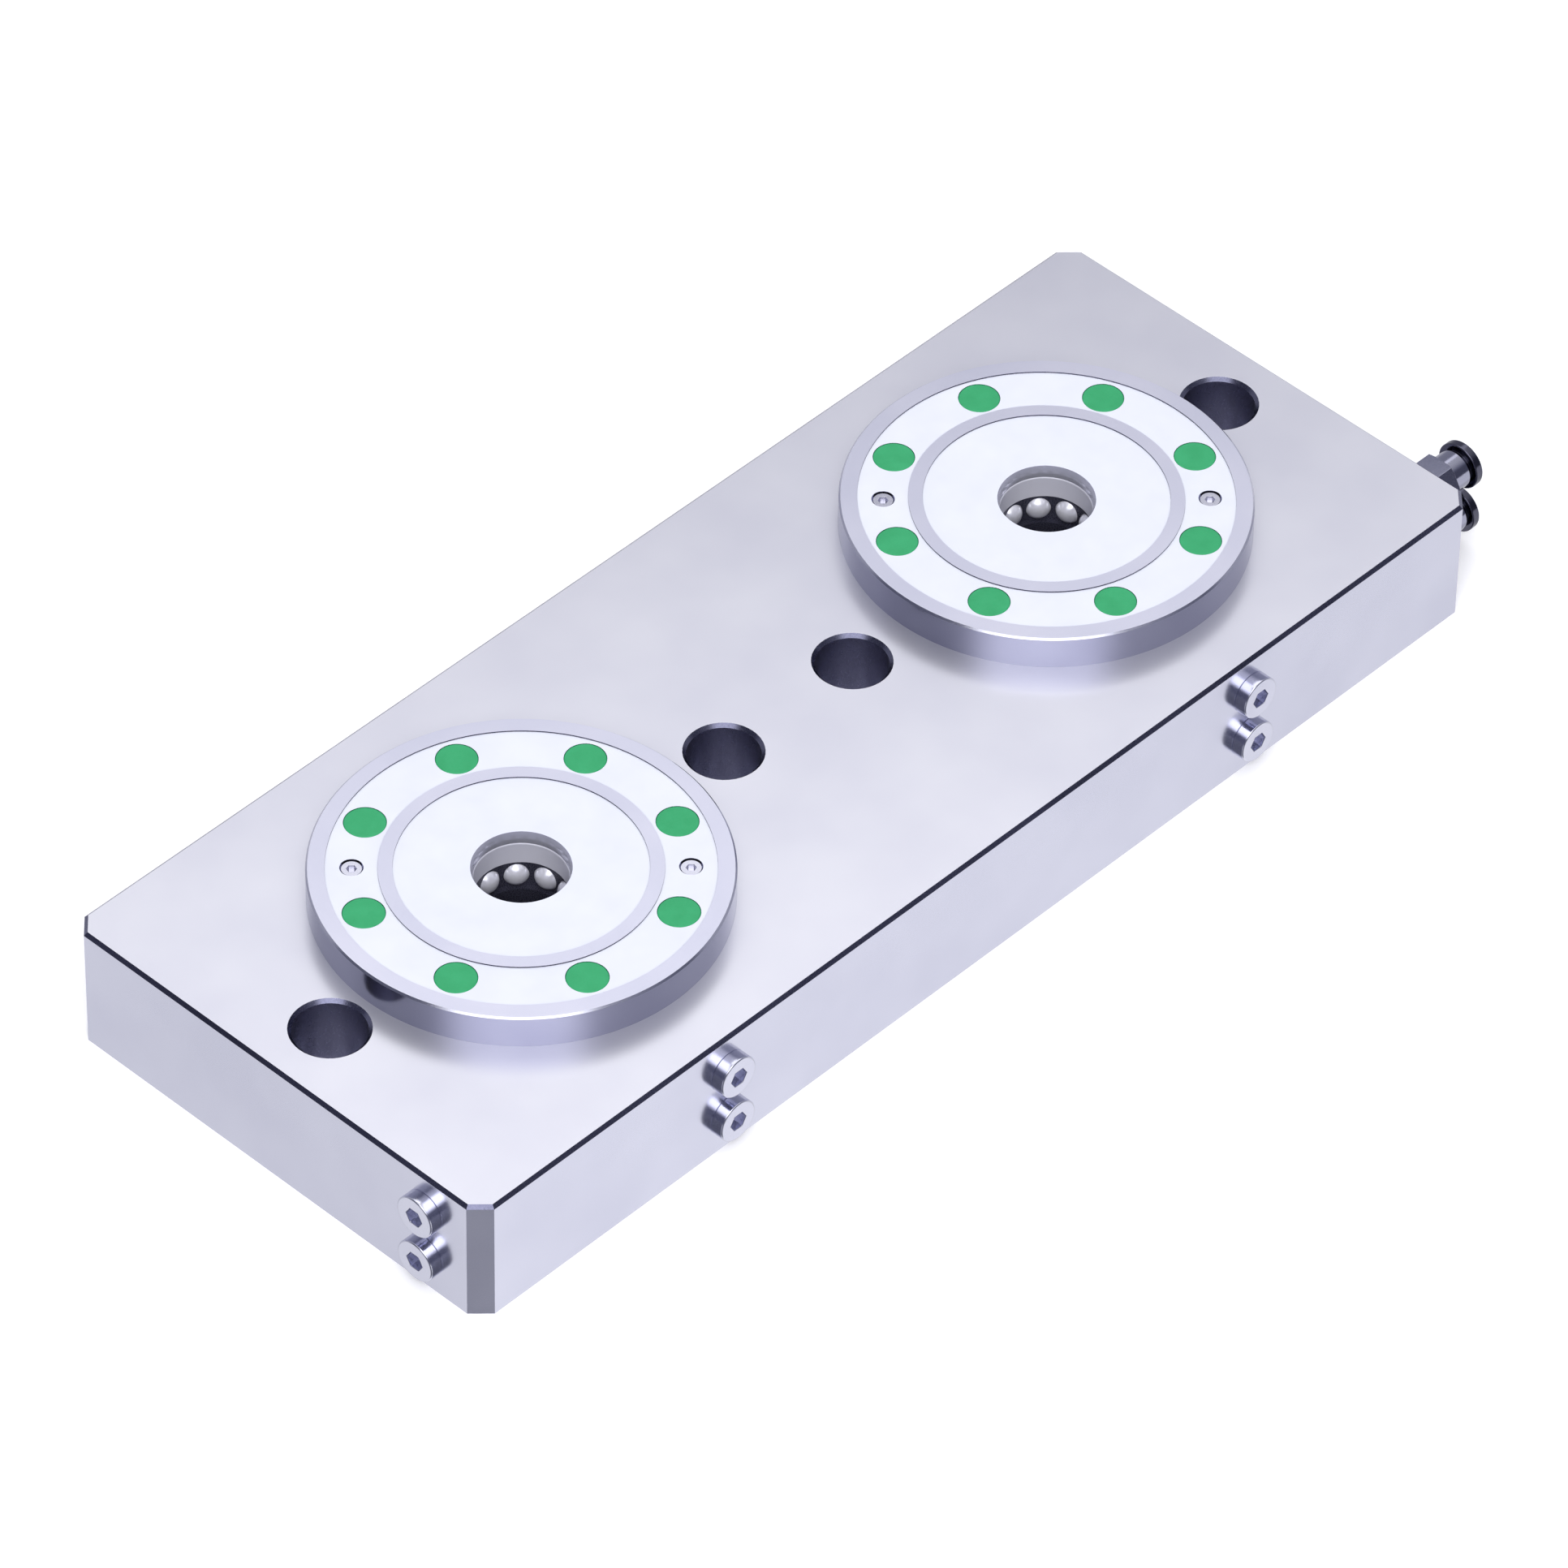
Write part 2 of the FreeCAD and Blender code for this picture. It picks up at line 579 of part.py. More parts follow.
def build_base_plate():
    """The plate is drawn from its front left corner, then placed with its middle on the origin."""
    body = new_body("base_plate")
    outline = new_sketch(body, "plate_outline", "XY_Plane")
    draw_outline(outline, [(NOTHING, NOTHING), (plate_length, NOTHING),
                           (plate_length, plate_width), (NOTHING, plate_width)])
    block = pad(body, "plate_block", outline, plate_height)
    uprights = named_edges(block, lambda edge: edge.BoundBox.ZLength > plate_height.value - 1e-4)
    corners = dress_edges(body, "plate_corners", "Chamfer", block, uprights, corner_cut)
    top_edges = named_edges(corners, lambda edge: lies_at(edge, plate_height))
    dress_edges(body, "plate_top_edges", "Chamfer", corners, top_edges, edge_chamfer)

    middle_x = plate_length / 2
    middle_y = plate_width / 2
    chuck_spots = [middle_x + centre for centre in chuck_centres.values()]
    cut_circles(body, "chuck_pockets", "XY_Plane", plate_height,
                [(spot, middle_y, spigot_dia + spigot_gap * 2) for spot in chuck_spots],
                plate_height - pocket_floor)

    bolt_spots = [middle_x + offset / 2 for offset in
                  (-outer_bolt_pitch, -inner_bolt_pitch, inner_bolt_pitch, outer_bolt_pitch)]
    cut_circles(body, "bolt_holes", "XY_Plane", plate_height,
                [(spot, middle_y, bolt_hole_dia) for spot in bolt_spots], plate_height)
    heads = cut_circles(body, "bolt_counterbores", "XY_Plane", plate_height,
                        [(spot, middle_y, bolt_head_dia) for spot in bolt_spots], bolt_head_depth)
    mouths = named_edges(heads, lambda edge: is_circle(edge, bolt_head_dia / 2, plate_height))
    dress_edges(body, "bolt_mouths", "Chamfer", heads, mouths, bolt_mouth_chamfer)

    line_y = middle_y - line_offset
    levels = (lower_line, upper_line)
    cut_circles(body, "long_air_lines", "YZ_Plane", NOTHING,
                [(line_y, level, line_dia) for level in levels], plate_length, backwards=True)
    cut_circles(body, "cross_air_lines", "XZ_Plane", NOTHING,
                [(spot, level, line_dia) for spot in chuck_spots for level in levels], middle_y)
    thread = port_thread_dia + port_thread_gap * 2
    recess = port_seal_dia + seal_gap * 2
    for name, diameter, depth in (("threads", thread, port_depth),
                                  ("seal_recesses", recess, port_seal_depth)):
        cut_circles(body, f"front_{name}", "XZ_Plane", NOTHING,
                    [(spot, level, diameter) for spot in chuck_spots for level in levels], depth)
        cut_circles(body, f"end_{name}", "YZ_Plane", NOTHING,
                    [(line_y, level, diameter) for level in levels], depth, backwards=True)
        cut_circles(body, f"fitting_{name}", "YZ_Plane", plate_length,
                    [(line_y, level, diameter) for level in levels], depth)

    add_tapped_holes(body, chuck_spots, middle_y)
    place(body, -(plate_length / 2), -(plate_width / 2), NOTHING)
    return body


def add_tapped_holes(body, chuck_spots, middle_y):
    """Tapped holes for the flange screws and the small screws of both chucks."""
    screws = []
    pins = []
    for spot in chuck_spots:
        for step in range(int(screw_count.value)):
            angle = screw_angle + screw_step * step
            screws.append((spot + screw_circle / 2 * cosine(angle),
                           middle_y + screw_circle / 2 * sine(angle),
                           screw_dia + thread_gap * 2))
        for step in range(int(pin_count.value)):
            angle = pin_angle + as_size(360) / pin_count * step
            pins.append((spot + screw_circle / 2 * cosine(angle),
                         middle_y + screw_circle / 2 * sine(angle),
                         pin_screw_dia + thread_gap * 2))
    screw_end = screw_seat - screw_length
    pin_end = pin_seat - pin_screw_length
    cut_circles(body, "screw_threads", "XY_Plane", plate_height, screws,
                plate_height - screw_end + tap_spare)
    cut_circles(body, "small_threads", "XY_Plane", plate_height, pins,
                plate_height - pin_end + tap_spare)


def build_port_plugs():
    """Six hexagon-socket plugs, each in its port."""
    plugs = []
    for name, x, y, z, turn in plate_ports():
        body = new_body(f"plug_{name}")
        shank_start = -plug_shank
        head = revolve(body, f"plug_solid_{name}",
                       [(shank_start, NOTHING), (plug_head, NOTHING),
                        (plug_head, plug_head_dia / 2), (NOTHING, plug_head_dia / 2),
                        (NOTHING, port_thread_dia / 2), (shank_start, port_thread_dia / 2)],
                       "H_Axis")
        rim = named_edges(head, lambda edge: is_circle(edge, plug_head_dia / 2, plug_head, "x"))
        dress_edges(body, f"plug_rim_{name}", "Fillet", head, rim, plug_edge)
        key = new_sketch(body, f"plug_key_{name}", "YZ_Plane", plug_head)
        draw_hexagon(key, NOTHING, NOTHING, plug_key)
        cut(body, f"plug_socket_{name}", key, plug_key_depth)
        place(body, x, y, z, turn)
        plugs.append(body)
    return group("port_plugs", plugs)


def build_plug_seals():
    """A flat sealing ring round the thread of each plug."""
    seals = []
    bore = port_thread_dia + seal_gap * 2
    for name, x, y, z, turn in plate_ports():
        lie_flat = turn.multiply(turned((0, 1, 0), 90))
        outward = turn.multVec(FreeCAD.Vector(1, 0, 0))
        seals.append(flat_ring(f"plug_seal_{name}", port_seal_dia, bore, port_seal_depth,
                               x - port_seal_depth * round(outward.x),
                               y - port_seal_depth * round(outward.y), z, lie_flat))
    return group("port_plug_seals", seals)


def fitting_levels():
    return (("upper", upper_line), ("lower", lower_line))


def build_fitting_body(name, level):
    """Hexagon, round neck and threaded shank, bored for the tube and the release sleeve."""
    label = f"{name}_fitting_body"
    neck_end = fitting_hex_length + neck_length
    sleeve_start = neck_end - sleeve_depth - collar_travel - collar_rest
    chamber_start = sleeve_start - inner_step * 2 - ring_thickness
    seal_start = chamber_start - tube_seal_width
    body = new_body(label)
    revolve(body, f"{label}_round",
            [(-fitting_shank, fitting_bore_dia / 2), (tube_stop, fitting_bore_dia / 2),
             (tube_stop, tube_dia / 2), (seal_start, tube_dia / 2),
             (seal_start, sleeve_dia / 2 + sleeve_gap), (neck_end, sleeve_dia / 2 + sleeve_gap),
             (neck_end, neck_dia / 2), (NOTHING, neck_dia / 2),
             (NOTHING, port_thread_dia / 2), (-fitting_shank, port_thread_dia / 2)], "H_Axis")
    hexagon = new_sketch(body, f"{label}_hexagon", "YZ_Plane")
    draw_hexagon(hexagon, NOTHING, NOTHING, fitting_hex)
    wall_middle = (neck_dia + sleeve_dia) / 2
    draw_circle(hexagon, NOTHING, NOTHING, wall_middle)
    pad(body, f"{label}_hex_block", hexagon, fitting_hex_length)
    trim_hexagon(body, label)
    place(body, plate_length / 2, -line_offset, level)
    return body


def trim_hexagon(body, label):
    """Turn the outer corners of the hexagon to a cone."""
    before = body.Shape.Volume
    corner = fitting_hex / 2 / cosine(30)
    sketch = new_sketch(body, f"{label}_trim_outline", "XZ_Plane")
    draw_outline(sketch, [(fitting_hex_length - fitting_hex_edge, corner),
                          (fitting_hex_length, corner - fitting_hex_edge * 2),
                          (fitting_hex_length + fitting_hex_edge, corner - fitting_hex_edge * 2),
                          (fitting_hex_length + fitting_hex_edge, corner + fitting_hex_edge),
                          (fitting_hex_length - fitting_hex_edge, corner + fitting_hex_edge)])
    groove = body.newObject("PartDesign::Groove", f"{label}_trim")
    groove.Profile = sketch
    groove.ReferenceAxis = (sketch, ["H_Axis"])
    groove.Angle = 360
    doc.recompute()
    check(groove)
    if body.Shape.Volume >= before:
        raise RuntimeError(f"{label} hexagon wasn't trimmed")


def build_release_collar(name, level):
    """Flange and sleeve that free the tube when they are pushed in."""
    label = f"{name}_release_collar"
    neck_end = fitting_hex_length + neck_length
    flange_start = neck_end + collar_travel + collar_rest
    sleeve_end = neck_end - sleeve_depth
    body = new_body(label)
    turned_part = revolve(body, f"{label}_solid",
                          [(sleeve_end, tube_dia / 2), (flange_start + collar_length, tube_dia / 2),
                           (flange_start + collar_length, collar_dia / 2),
                           (flange_start, collar_dia / 2), (flange_start, sleeve_dia / 2),
                           (sleeve_end, sleeve_dia / 2)], "H_Axis")
    rims = []
    for level_x in (flange_start, flange_start + collar_length):
        rims += named_edges(turned_part,
                            lambda edge: is_circle(edge, collar_dia / 2, level_x, "x"))
    dress_edges(body, f"{label}_rims", "Fillet", turned_part, rims, collar_edge)
    place(body, plate_length / 2, -line_offset, level)
    return body


def build_fitting_inserts():
    """Thread seals, tube seals and grab rings of both fittings."""
    neck_end = fitting_hex_length + neck_length
    sleeve_start = neck_end - sleeve_depth - collar_travel - collar_rest
    ring_start = sleeve_start - inner_step - ring_thickness
    seal_start = ring_start - inner_step - tube_seal_width
    along_x = turned((0, 1, 0), 90)
    face = plate_length / 2
    kinds = (("fitting_thread_seals", port_seal_dia, port_thread_dia + seal_gap * 2,
              port_seal_depth, -port_seal_depth),
             ("fitting_tube_seals", sleeve_dia, tube_dia, tube_seal_width, seal_start),
             ("fitting_grab_rings", sleeve_dia, tube_dia, ring_thickness, ring_start))
    groups = []
    for label, outer, inner, thickness, start in kinds:
        members = [flat_ring(f"{label}_{name}", outer, inner, thickness, face + start,
                             -line_offset, level, along_x) for name, level in fitting_levels()]
        groups.append(group(label, members))
    return groups


def build_chuck_body(side, centre):
    """Flange with two contact rings, and a spigot that is the piston's cylinder."""
    label = f"{side}_chuck_body"
    body = new_body(label)
    cage_seat_radius = cage_dia / 2 + cage_gap
    cylinder = cylinder_dia / 2
    spigot = spigot_dia / 2
    relief = cylinder + relief_depth
    half_groove = groove_height / 2
    half_seal = spigot_seal_dia / 2 + seal_gap
    seal_bottom = spigot + spigot_gap - spigot_seal_dia - seal_gap
    snap_top = cover_height
    snap_bottom = cover_height - snap_thickness - snap_gap * 2
    outline = [
        (mouth_dia / 2, white_face), (inner_ring_bore / 2, white_face),
        (inner_ring_bore / 2, contact_face), (inner_ring_dia / 2, contact_face),
        (inner_ring_dia / 2, white_face), (outer_ring_bore / 2, white_face),
        (outer_ring_bore / 2, contact_face), (flange_dia / 2 - flange_edge, contact_face),
        (flange_dia / 2, contact_face - flange_edge), (flange_dia / 2, plate_height),
        (spigot, plate_height),
        (spigot, upper_seal_height + half_seal), (seal_bottom, upper_seal_height + half_seal),
        (seal_bottom, upper_seal_height - half_seal), (spigot, upper_seal_height - half_seal),
        (spigot, upper_line + half_groove), (spigot - groove_depth, upper_line + half_groove),
        (spigot - groove_depth, upper_line - half_groove), (spigot, upper_line - half_groove),
        (spigot, lower_seal_height + half_seal), (seal_bottom, lower_seal_height + half_seal),
        (seal_bottom, lower_seal_height - half_seal), (spigot, lower_seal_height - half_seal),
        (spigot, lower_line + half_groove), (spigot - groove_depth, lower_line + half_groove),
        (spigot - groove_depth, lower_line - half_groove), (spigot, lower_line - half_groove),
        (spigot, spigot_bottom), (cylinder, spigot_bottom),
        (cylinder, snap_bottom), (snap_radius + snap_gap, snap_bottom),
        (snap_radius + snap_gap, snap_top), (cylinder, snap_top),
        (cylinder, cover_top), (relief, cover_top),
        (relief, cover_top + relief_height), (cylinder, cover_top + relief_height),
        (cylinder, roof - relief_height), (relief, roof - relief_height),
        (relief, roof), (cage_seat_radius, roof), (cage_seat_radius, bush_top),
        (throat_dia / 2, bush_top), (throat_dia / 2, white_face - lead_in),
        (throat_dia / 2 + lead_in_bulge, white_face - lead_in / 2),
    ]
    revolve(body, f"{label}_turned", outline)
    add_passages(body, label)
    add_flange_holes(body, label)
    place(body, centre, NOTHING, NOTHING)
    return body


def add_passages(body, label):
    """Air ways in the spigot wall: one from each groove up to the cylinder."""
    start = spigot_dia / 2 + cut_margin
    reach = start - passage_circle / 2 + passage_dia / 2 + cross_hole_end
    passage_y = -(passage_circle / 2)
    ends = (("release", lower_line, cover_top + relief_height - passage_end),
            ("spring", upper_line, roof - passage_end))
    for name, level, top in ends:
        cut_circles(body, f"{label}_{name}_cross_hole", "XZ_Plane", start,
                    [(NOTHING, level, cross_hole_dia)], reach)
        cut_circles(body, f"{label}_{name}_passage", "XY_Plane", level,
                    [(NOTHING, passage_y, passage_dia)], top - level, backwards=True)


def add_flange_holes(body, label):
    """Screw holes with recesses for heads and caps, and the two small screw holes."""
    circle = screw_circle / 2
    x, y = circle * cosine(screw_angle), circle * sine(screw_angle)
    recess = cut_circles(body, f"{label}_cap_recess", "XY_Plane", contact_face,
                         [(x, y, cap_dia + cap_gap * 2)], seat_depth + face_step)
    hole = cut_circles(body, f"{label}_screw_hole", "XY_Plane", contact_face,
                       [(x, y, screw_dia + screw_hole_gap * 2)], flange_height)
    repeat_round(body, f"{label}_screw_holes", [recess, hole], screw_count)
    x, y = circle * cosine(pin_angle), circle * sine(pin_angle)
    recess = cut_circles(body, f"{label}_pin_recess", "XY_Plane", contact_face,
                         [(x, y, pin_head_dia + pin_head_gap * 2)], pin_seat_depth + face_step)
    hole = cut_circles(body, f"{label}_pin_hole", "XY_Plane", contact_face,
                       [(x, y, pin_screw_dia + screw_hole_gap * 2)], flange_height)
    repeat_round(body, f"{label}_pin_holes", [recess, hole], pin_count)


def build_ball_cage(side, centre):
    """Sleeve that stands on the end cover and guides the balls. A window faces along its X axis."""
    label = f"{side}_ball_cage"
    body = new_body(label)
    bush_seat = bush_dia / 2 + cage_gap
    revolve(body, f"{label}_turned",
            [(NOTHING, cage_bottom), (cage_dia / 2, cage_bottom), (cage_dia / 2, bush_top),
             (bush_seat, bush_top), (bush_seat, bush_foot), (cage_bore / 2, bush_foot),
             (cage_bore / 2, ledge_height), (ledge_bore / 2, ledge_height),
             (ledge_bore / 2, socket_floor), (NOTHING, socket_floor)])
    window = cut_window(body, label)
    repeat_round(body, f"{label}_windows", [window], ball_count)
    place(body, centre, NOTHING, NOTHING, turned((0, 0, 1), ball_angle.value))
    bind(body, "Placement.Rotation.Angle", ball_angle)
    return body


def cut_window(body, label):
    """A round window that ends inwards in a ball seat, so that no ball falls into the bore."""
    before = body.Shape.Volume
    radius = ball_radius + window_gap
    outside = cage_dia / 2 + radius
    sketch = new_sketch(body, f"{label}_window_outline", "XZ_Plane")
    axis_name = draw_line_axis(sketch, (ball_orbit, ball_height), (outside, ball_height))
    centre = FreeCAD.Vector(ball_orbit.value, ball_height.value, 0)
    circle = Part.Circle(centre, FreeCAD.Vector(0, 0, 1), radius.value)
    seat = sketch.addGeometry(Part.ArcOfCircle(circle, math.pi / 2, math.pi))
    corners = [(ball_orbit, ball_height + radius), (outside, ball_height + radius),
               (outside, ball_height), (ball_orbit - radius, ball_height)]
    spots = [FreeCAD.Vector(across.value, up.value, 0) for across, up in corners]
    lines = [sketch.addGeometry(Part.LineSegment(start, end))
             for start, end in zip(spots, spots[1:])]
    sketch.addConstraint(Sketcher.Constraint("Coincident", seat, 1, lines[0], 1))
    sketch.addConstraint(Sketcher.Constraint("Coincident", lines[0], 2, lines[1], 1))
    sketch.addConstraint(Sketcher.Constraint("Coincident", lines[1], 2, lines[2], 1))
    sketch.addConstraint(Sketcher.Constraint("Coincident", lines[2], 2, seat, 2))
    tie_point(sketch, seat, 3, ball_orbit, ball_height)
    for line, (across, up) in zip(lines, corners):
        tie_point(sketch, line, 1, across, up)
    sketch.addConstraint(Sketcher.Constraint("Horizontal", lines[2]))
    window = body.newObject("PartDesign::Groove", f"{label}_window")
    window.Profile = sketch
    window.ReferenceAxis = (sketch, [axis_name])
    window.Angle = 360
    doc.recompute()
    check(window)
    if body.Shape.Volume >= before:
        raise RuntimeError(f"{label} has no window")
    return window


def build_guide_bush(side, centre):
    """Hard bush that guides the pull stud."""
    label = f"{side}_guide_bush"
    body = new_body(label)
    inner, outer = bush_bore / 2, bush_dia / 2
    revolve(body, f"{label}_turned",
            [(inner, bush_foot + bush_chamfer), (inner + bush_chamfer, bush_foot),
             (outer, bush_foot), (outer, bush_top), (inner + bush_chamfer, bush_top),
             (inner, bush_top - bush_chamfer)])
    place(body, centre, NOTHING, NOTHING)
    return body


def build_balls(side, centre):
    """The clamping balls, each in its own node because each one moves its own way."""
    balls = []
    for step in range(int(ball_count.value)):
        ball = doc.addObject("Part::Sphere", f"{side}_ball_{step + 1:02d}")
        ball.Label = ball.Name
        bind(ball, "Radius", ball_radius)
        angle = ball_angle + as_size(360) / ball_count * step
        place(ball, centre + ball_orbit * cosine(angle), ball_orbit * sine(angle), ball_height)
        balls.append(ball)
    return balls


def build_locking_piston(side, centre):
    """Annular piston: cone for the balls, two seal grooves and a ring of spring pockets."""
    label = f"{side}_locking_piston"
    body = new_body(label)
    outer_level = piston_bottom + piston_seal_height
    outer_half = piston_seal_dia / 2 + seal_gap
    outer_bottom = piston_radius - piston_seal_dia - seal_gap
    inner_level = piston_bottom + stem_seal_height
    inner_half = stem_seal_dia / 2 + seal_gap
    inner_bottom = piston_bore + stem_seal_dia + seal_gap
    revolve(body, f"{label}_turned", [
        (piston_bore, piston_bottom), (piston_radius, piston_bottom),
        (piston_radius, outer_level - outer_half), (outer_bottom, outer_level - outer_half),
        (outer_bottom, outer_level + outer_half), (piston_radius, outer_level + outer_half),
        (piston_radius, piston_top), (cone_top_radius, piston_top),
        (recess_radius, recess_corner), (recess_radius, recess_floor),
        (piston_bore, recess_floor), (piston_bore, inner_level + inner_half),
        (inner_bottom, inner_level + inner_half), (inner_bottom, inner_level - inner_half),
        (piston_bore, inner_level - inner_half)])
    pocket = cut_circles(body, f"{label}_spring_pocket", "XY_Plane", piston_top,
                         [(spring_circle / 2, NOTHING, spring_pocket_dia)],
                         spring_length - piston_travel - roof_gap)
    repeat_round(body, f"{label}_spring_pockets", [pocket], spring_count)
    place(body, centre, NOTHING, NOTHING)
    return body


def build_clamp_springs(side, centre):
    """A ring of compression springs between the piston's pockets and the roof."""
    label = f"{side}_clamp_springs"
    body = new_body(label)
    coil_radius = (spring_dia - spring_wire) / 2
    foot = roof - spring_length + spring_wire / 2
    sketch = new_sketch(body, f"{label}_wire", "XZ_Plane")
    draw_circle(sketch, spring_circle / 2 + coil_radius, foot, spring_wire)
    axis_line = draw_line_axis(sketch, (spring_circle / 2, foot),
                               (spring_circle / 2, foot + spring_length))
    doc.recompute()
    helix = body.newObject("PartDesign::AdditiveHelix", f"{label}_helix")
    helix.Profile = sketch
    helix.ReferenceAxis = (sketch, [axis_line])
    helix.Mode = "pitch-height-angle"
    helix.Angle = 0
    bind(helix, "Height", spring_length - spring_wire)
    bind(helix, "Pitch", (spring_length - spring_wire) / spring_turns)
    doc.recompute()
    check(helix)
    repeat_round(body, f"{label}_ring", [helix], spring_count)
    place(body, centre, NOTHING, NOTHING)
    return body


def build_end_cover(side, centre):
    """Closes the cylinder from below, seats the ball cage and carries the piston's stop."""
    label = f"{side}_end_cover"
    body = new_body(label)
    cover_radius = cylinder_dia / 2 - spigot_gap
    seal_level = cover_height + cover_thickness / 2
    half = cover_seal_dia / 2 + seal_gap
    seal_bottom = cylinder_dia / 2 - cover_seal_dia - seal_gap
    stop_top = piston_bottom - stop_gap
    stop_radius = cylinder_dia / 2 - stop_inset
    seat_radius = cage_dia / 2 + cage_gap
    revolve(body, f"{label}_turned", [
        (NOTHING, cover_height), (cover_radius, cover_height),
        (cover_radius, seal_level - half), (seal_bottom, seal_level - half),
        (seal_bottom, seal_level + half), (cover_radius, seal_level + half),
        (cover_radius, cover_top), (stop_radius, cover_top),
        (stop_radius, stop_top), (stop_radius - stop_width, stop_top),
        (stop_radius - stop_width, cover_top), (seat_radius, cover_top),
        (seat_radius, cage_bottom), (NOTHING, cage_bottom)])
    place(body, centre, NOTHING, NOTHING)
    return body


def build_retaining_ring(side, centre):
    """Internal snap ring with two eyes, open towards the front."""
    label = f"{side}_retaining_ring"
    body = new_body(label)
    foot = cover_height - snap_gap - snap_thickness
    middle = snap_radius - snap_width / 2
    eye_y = -(middle - snap_eye_inset)
    eye_x = snap_opening / 2 + snap_width / 2
    outline = new_sketch(body, f"{label}_outline", "XY_Plane", foot)
    draw_circle(outline, NOTHING, NOTHING, snap_radius * 2)
    draw_circle(outline, NOTHING, NOTHING, (snap_radius - snap_width) * 2)
    pad(body, f"{label}_hoop", outline, snap_thickness)
    gap = new_sketch(body, f"{label}_gap", "XY_Plane", foot)
    draw_outline(gap, [(-(snap_opening / 2), -(snap_radius + cut_margin)),
                       (snap_opening / 2, -(snap_radius + cut_margin)),
                       (snap_opening / 2, -(snap_radius / 2)),
                       (-(snap_opening / 2), -(snap_radius / 2))])
    cut(body, f"{label}_opening", gap, snap_thickness, backwards=True)
    cut_circles(body, f"{label}_eyes", "XY_Plane", foot,
                [(eye_x, eye_y, snap_eye_dia), (-eye_x, eye_y, snap_eye_dia)],
                snap_thickness, backwards=True)
    place(body, centre, NOTHING, NOTHING)
    return body


def build_chuck_seals(side, centre):
    """Every O-ring of one chuck."""
    spigot_orbit = spigot_dia / 2 + spigot_gap - spigot_seal_dia / 2
    spigot_rings = [ring(f"{side}_spigot_ring_{name}", spigot_orbit, spigot_seal_dia, centre,
                         NOTHING, level)
                    for name, level in (("lower", lower_seal_height), ("upper", upper_seal_height))]
    spigot_seals = group(f"{side}_spigot_seals", spigot_rings)
    cover = ring(f"{side}_cover_seal", cylinder_dia / 2 - cover_seal_dia / 2, cover_seal_dia,
                 centre, NOTHING, cover_height + cover_thickness / 2)
    outer = ring(f"{side}_piston_outer_seal", piston_radius - piston_seal_dia / 2, piston_seal_dia,
                 centre, NOTHING, piston_bottom + piston_seal_height)
    inner = ring(f"{side}_piston_inner_seal", piston_bore + stem_seal_dia / 2, stem_seal_dia,
                 centre, NOTHING, piston_bottom + stem_seal_height)
    return [spigot_seals, cover, outer, inner]


def socket_screws(label, centre, count, angle, seat, thread, length, head, height, key, key_depth):
    """Socket-head screws on the screw circle, turned so that the first stands on the X axis."""
    body = new_body(label)
    orbit = screw_circle / 2
    head_sketch = new_sketch(body, f"{label}_head_circle", "XY_Plane", seat)
    draw_circle(head_sketch, orbit, NOTHING, head)
    head_pad = pad(body, f"{label}_head", head_sketch, height)
    shank_sketch = new_sketch(body, f"{label}_shank_circle", "XY_Plane", seat)
    draw_circle(shank_sketch, orbit, NOTHING, thread)
    shank_pad = pad(body, f"{label}_shank", shank_sketch, length, backwards=True)
    key_sketch = new_sketch(body, f"{label}_key", "XY_Plane", seat + height)
    draw_hexagon(key_sketch, orbit, NOTHING, key)
    socket = cut(body, f"{label}_socket", key_sketch, key_depth)
    repeat_round(body, f"{label}_circle", [head_pad, shank_pad, socket], count)
    place(body, centre, NOTHING, NOTHING, turned((0, 0, 1), angle.value))
    bind(body, "Placement.Rotation.Angle", angle)
    return body


def build_screw_caps(side, centre):
    """Caps that close the flange screws' recesses."""
    label = f"{side}_screw_caps"
    body = new_body(label)
    top = white_face + cap_stand
    radius = cap_dia / 2
    orbit = screw_circle / 2
    outline = new_sketch(body, f"{label}_outline", "XZ_Plane")
    draw_outline(outline, [(orbit, top - cap_thickness), (orbit + radius, top - cap_thickness),
                           (orbit + radius, top - cap_edge), (orbit + radius - cap_edge, top),
                           (orbit, top)])
    axis_line = draw_line_axis(outline, (orbit, top - cap_thickness), (orbit, top))
    cap = body.newObject("PartDesign::Revolution", f"{label}_cap")
    cap.Profile = outline
    cap.ReferenceAxis = (outline, [axis_line])
    cap.Angle = 360
    doc.recompute()
    check(cap)
    repeat_round(body, f"{label}_circle", [cap], screw_count)
    place(body, centre, NOTHING, NOTHING, turned((0, 0, 1), screw_angle.value))
    bind(body, "Placement.Rotation.Angle", screw_angle)
    return body


def build_chuck(side, centre):
    """All pieces of one chuck."""
    pieces = [
        build_chuck_body(side, centre),
        build_ball_cage(side, centre),
        build_guide_bush(side, centre),
        build_locking_piston(side, centre),
        build_clamp_springs(side, centre),
        build_end_cover(side, centre),
        build_retaining_ring(side, centre),
        socket_screws(f"{side}_flange_screws", centre, screw_count, screw_angle, screw_seat,
                      screw_dia, screw_length, head_dia, head_height, head_key, head_key_depth),
        socket_screws(f"{side}_small_screws", centre, pin_count, pin_angle, pin_seat, pin_screw_dia,
                      pin_screw_length, pin_head_dia, pin_head_height, pin_key, pin_key_depth),
        build_screw_caps(side, centre),
    ]
    return pieces + build_balls(side, centre) + build_chuck_seals(side, centre)


def build_everything():
    pieces = [build_base_plate(), build_port_plugs(), build_plug_seals()]
    for name, level in fitting_levels():
        pieces.append(build_fitting_body(name, level))
        pieces.append(build_release_collar(name, level))
    pieces += build_fitting_inserts()
    for side, centre in chuck_centres.items():
        pieces += build_chuck(side, centre)
    return pieces


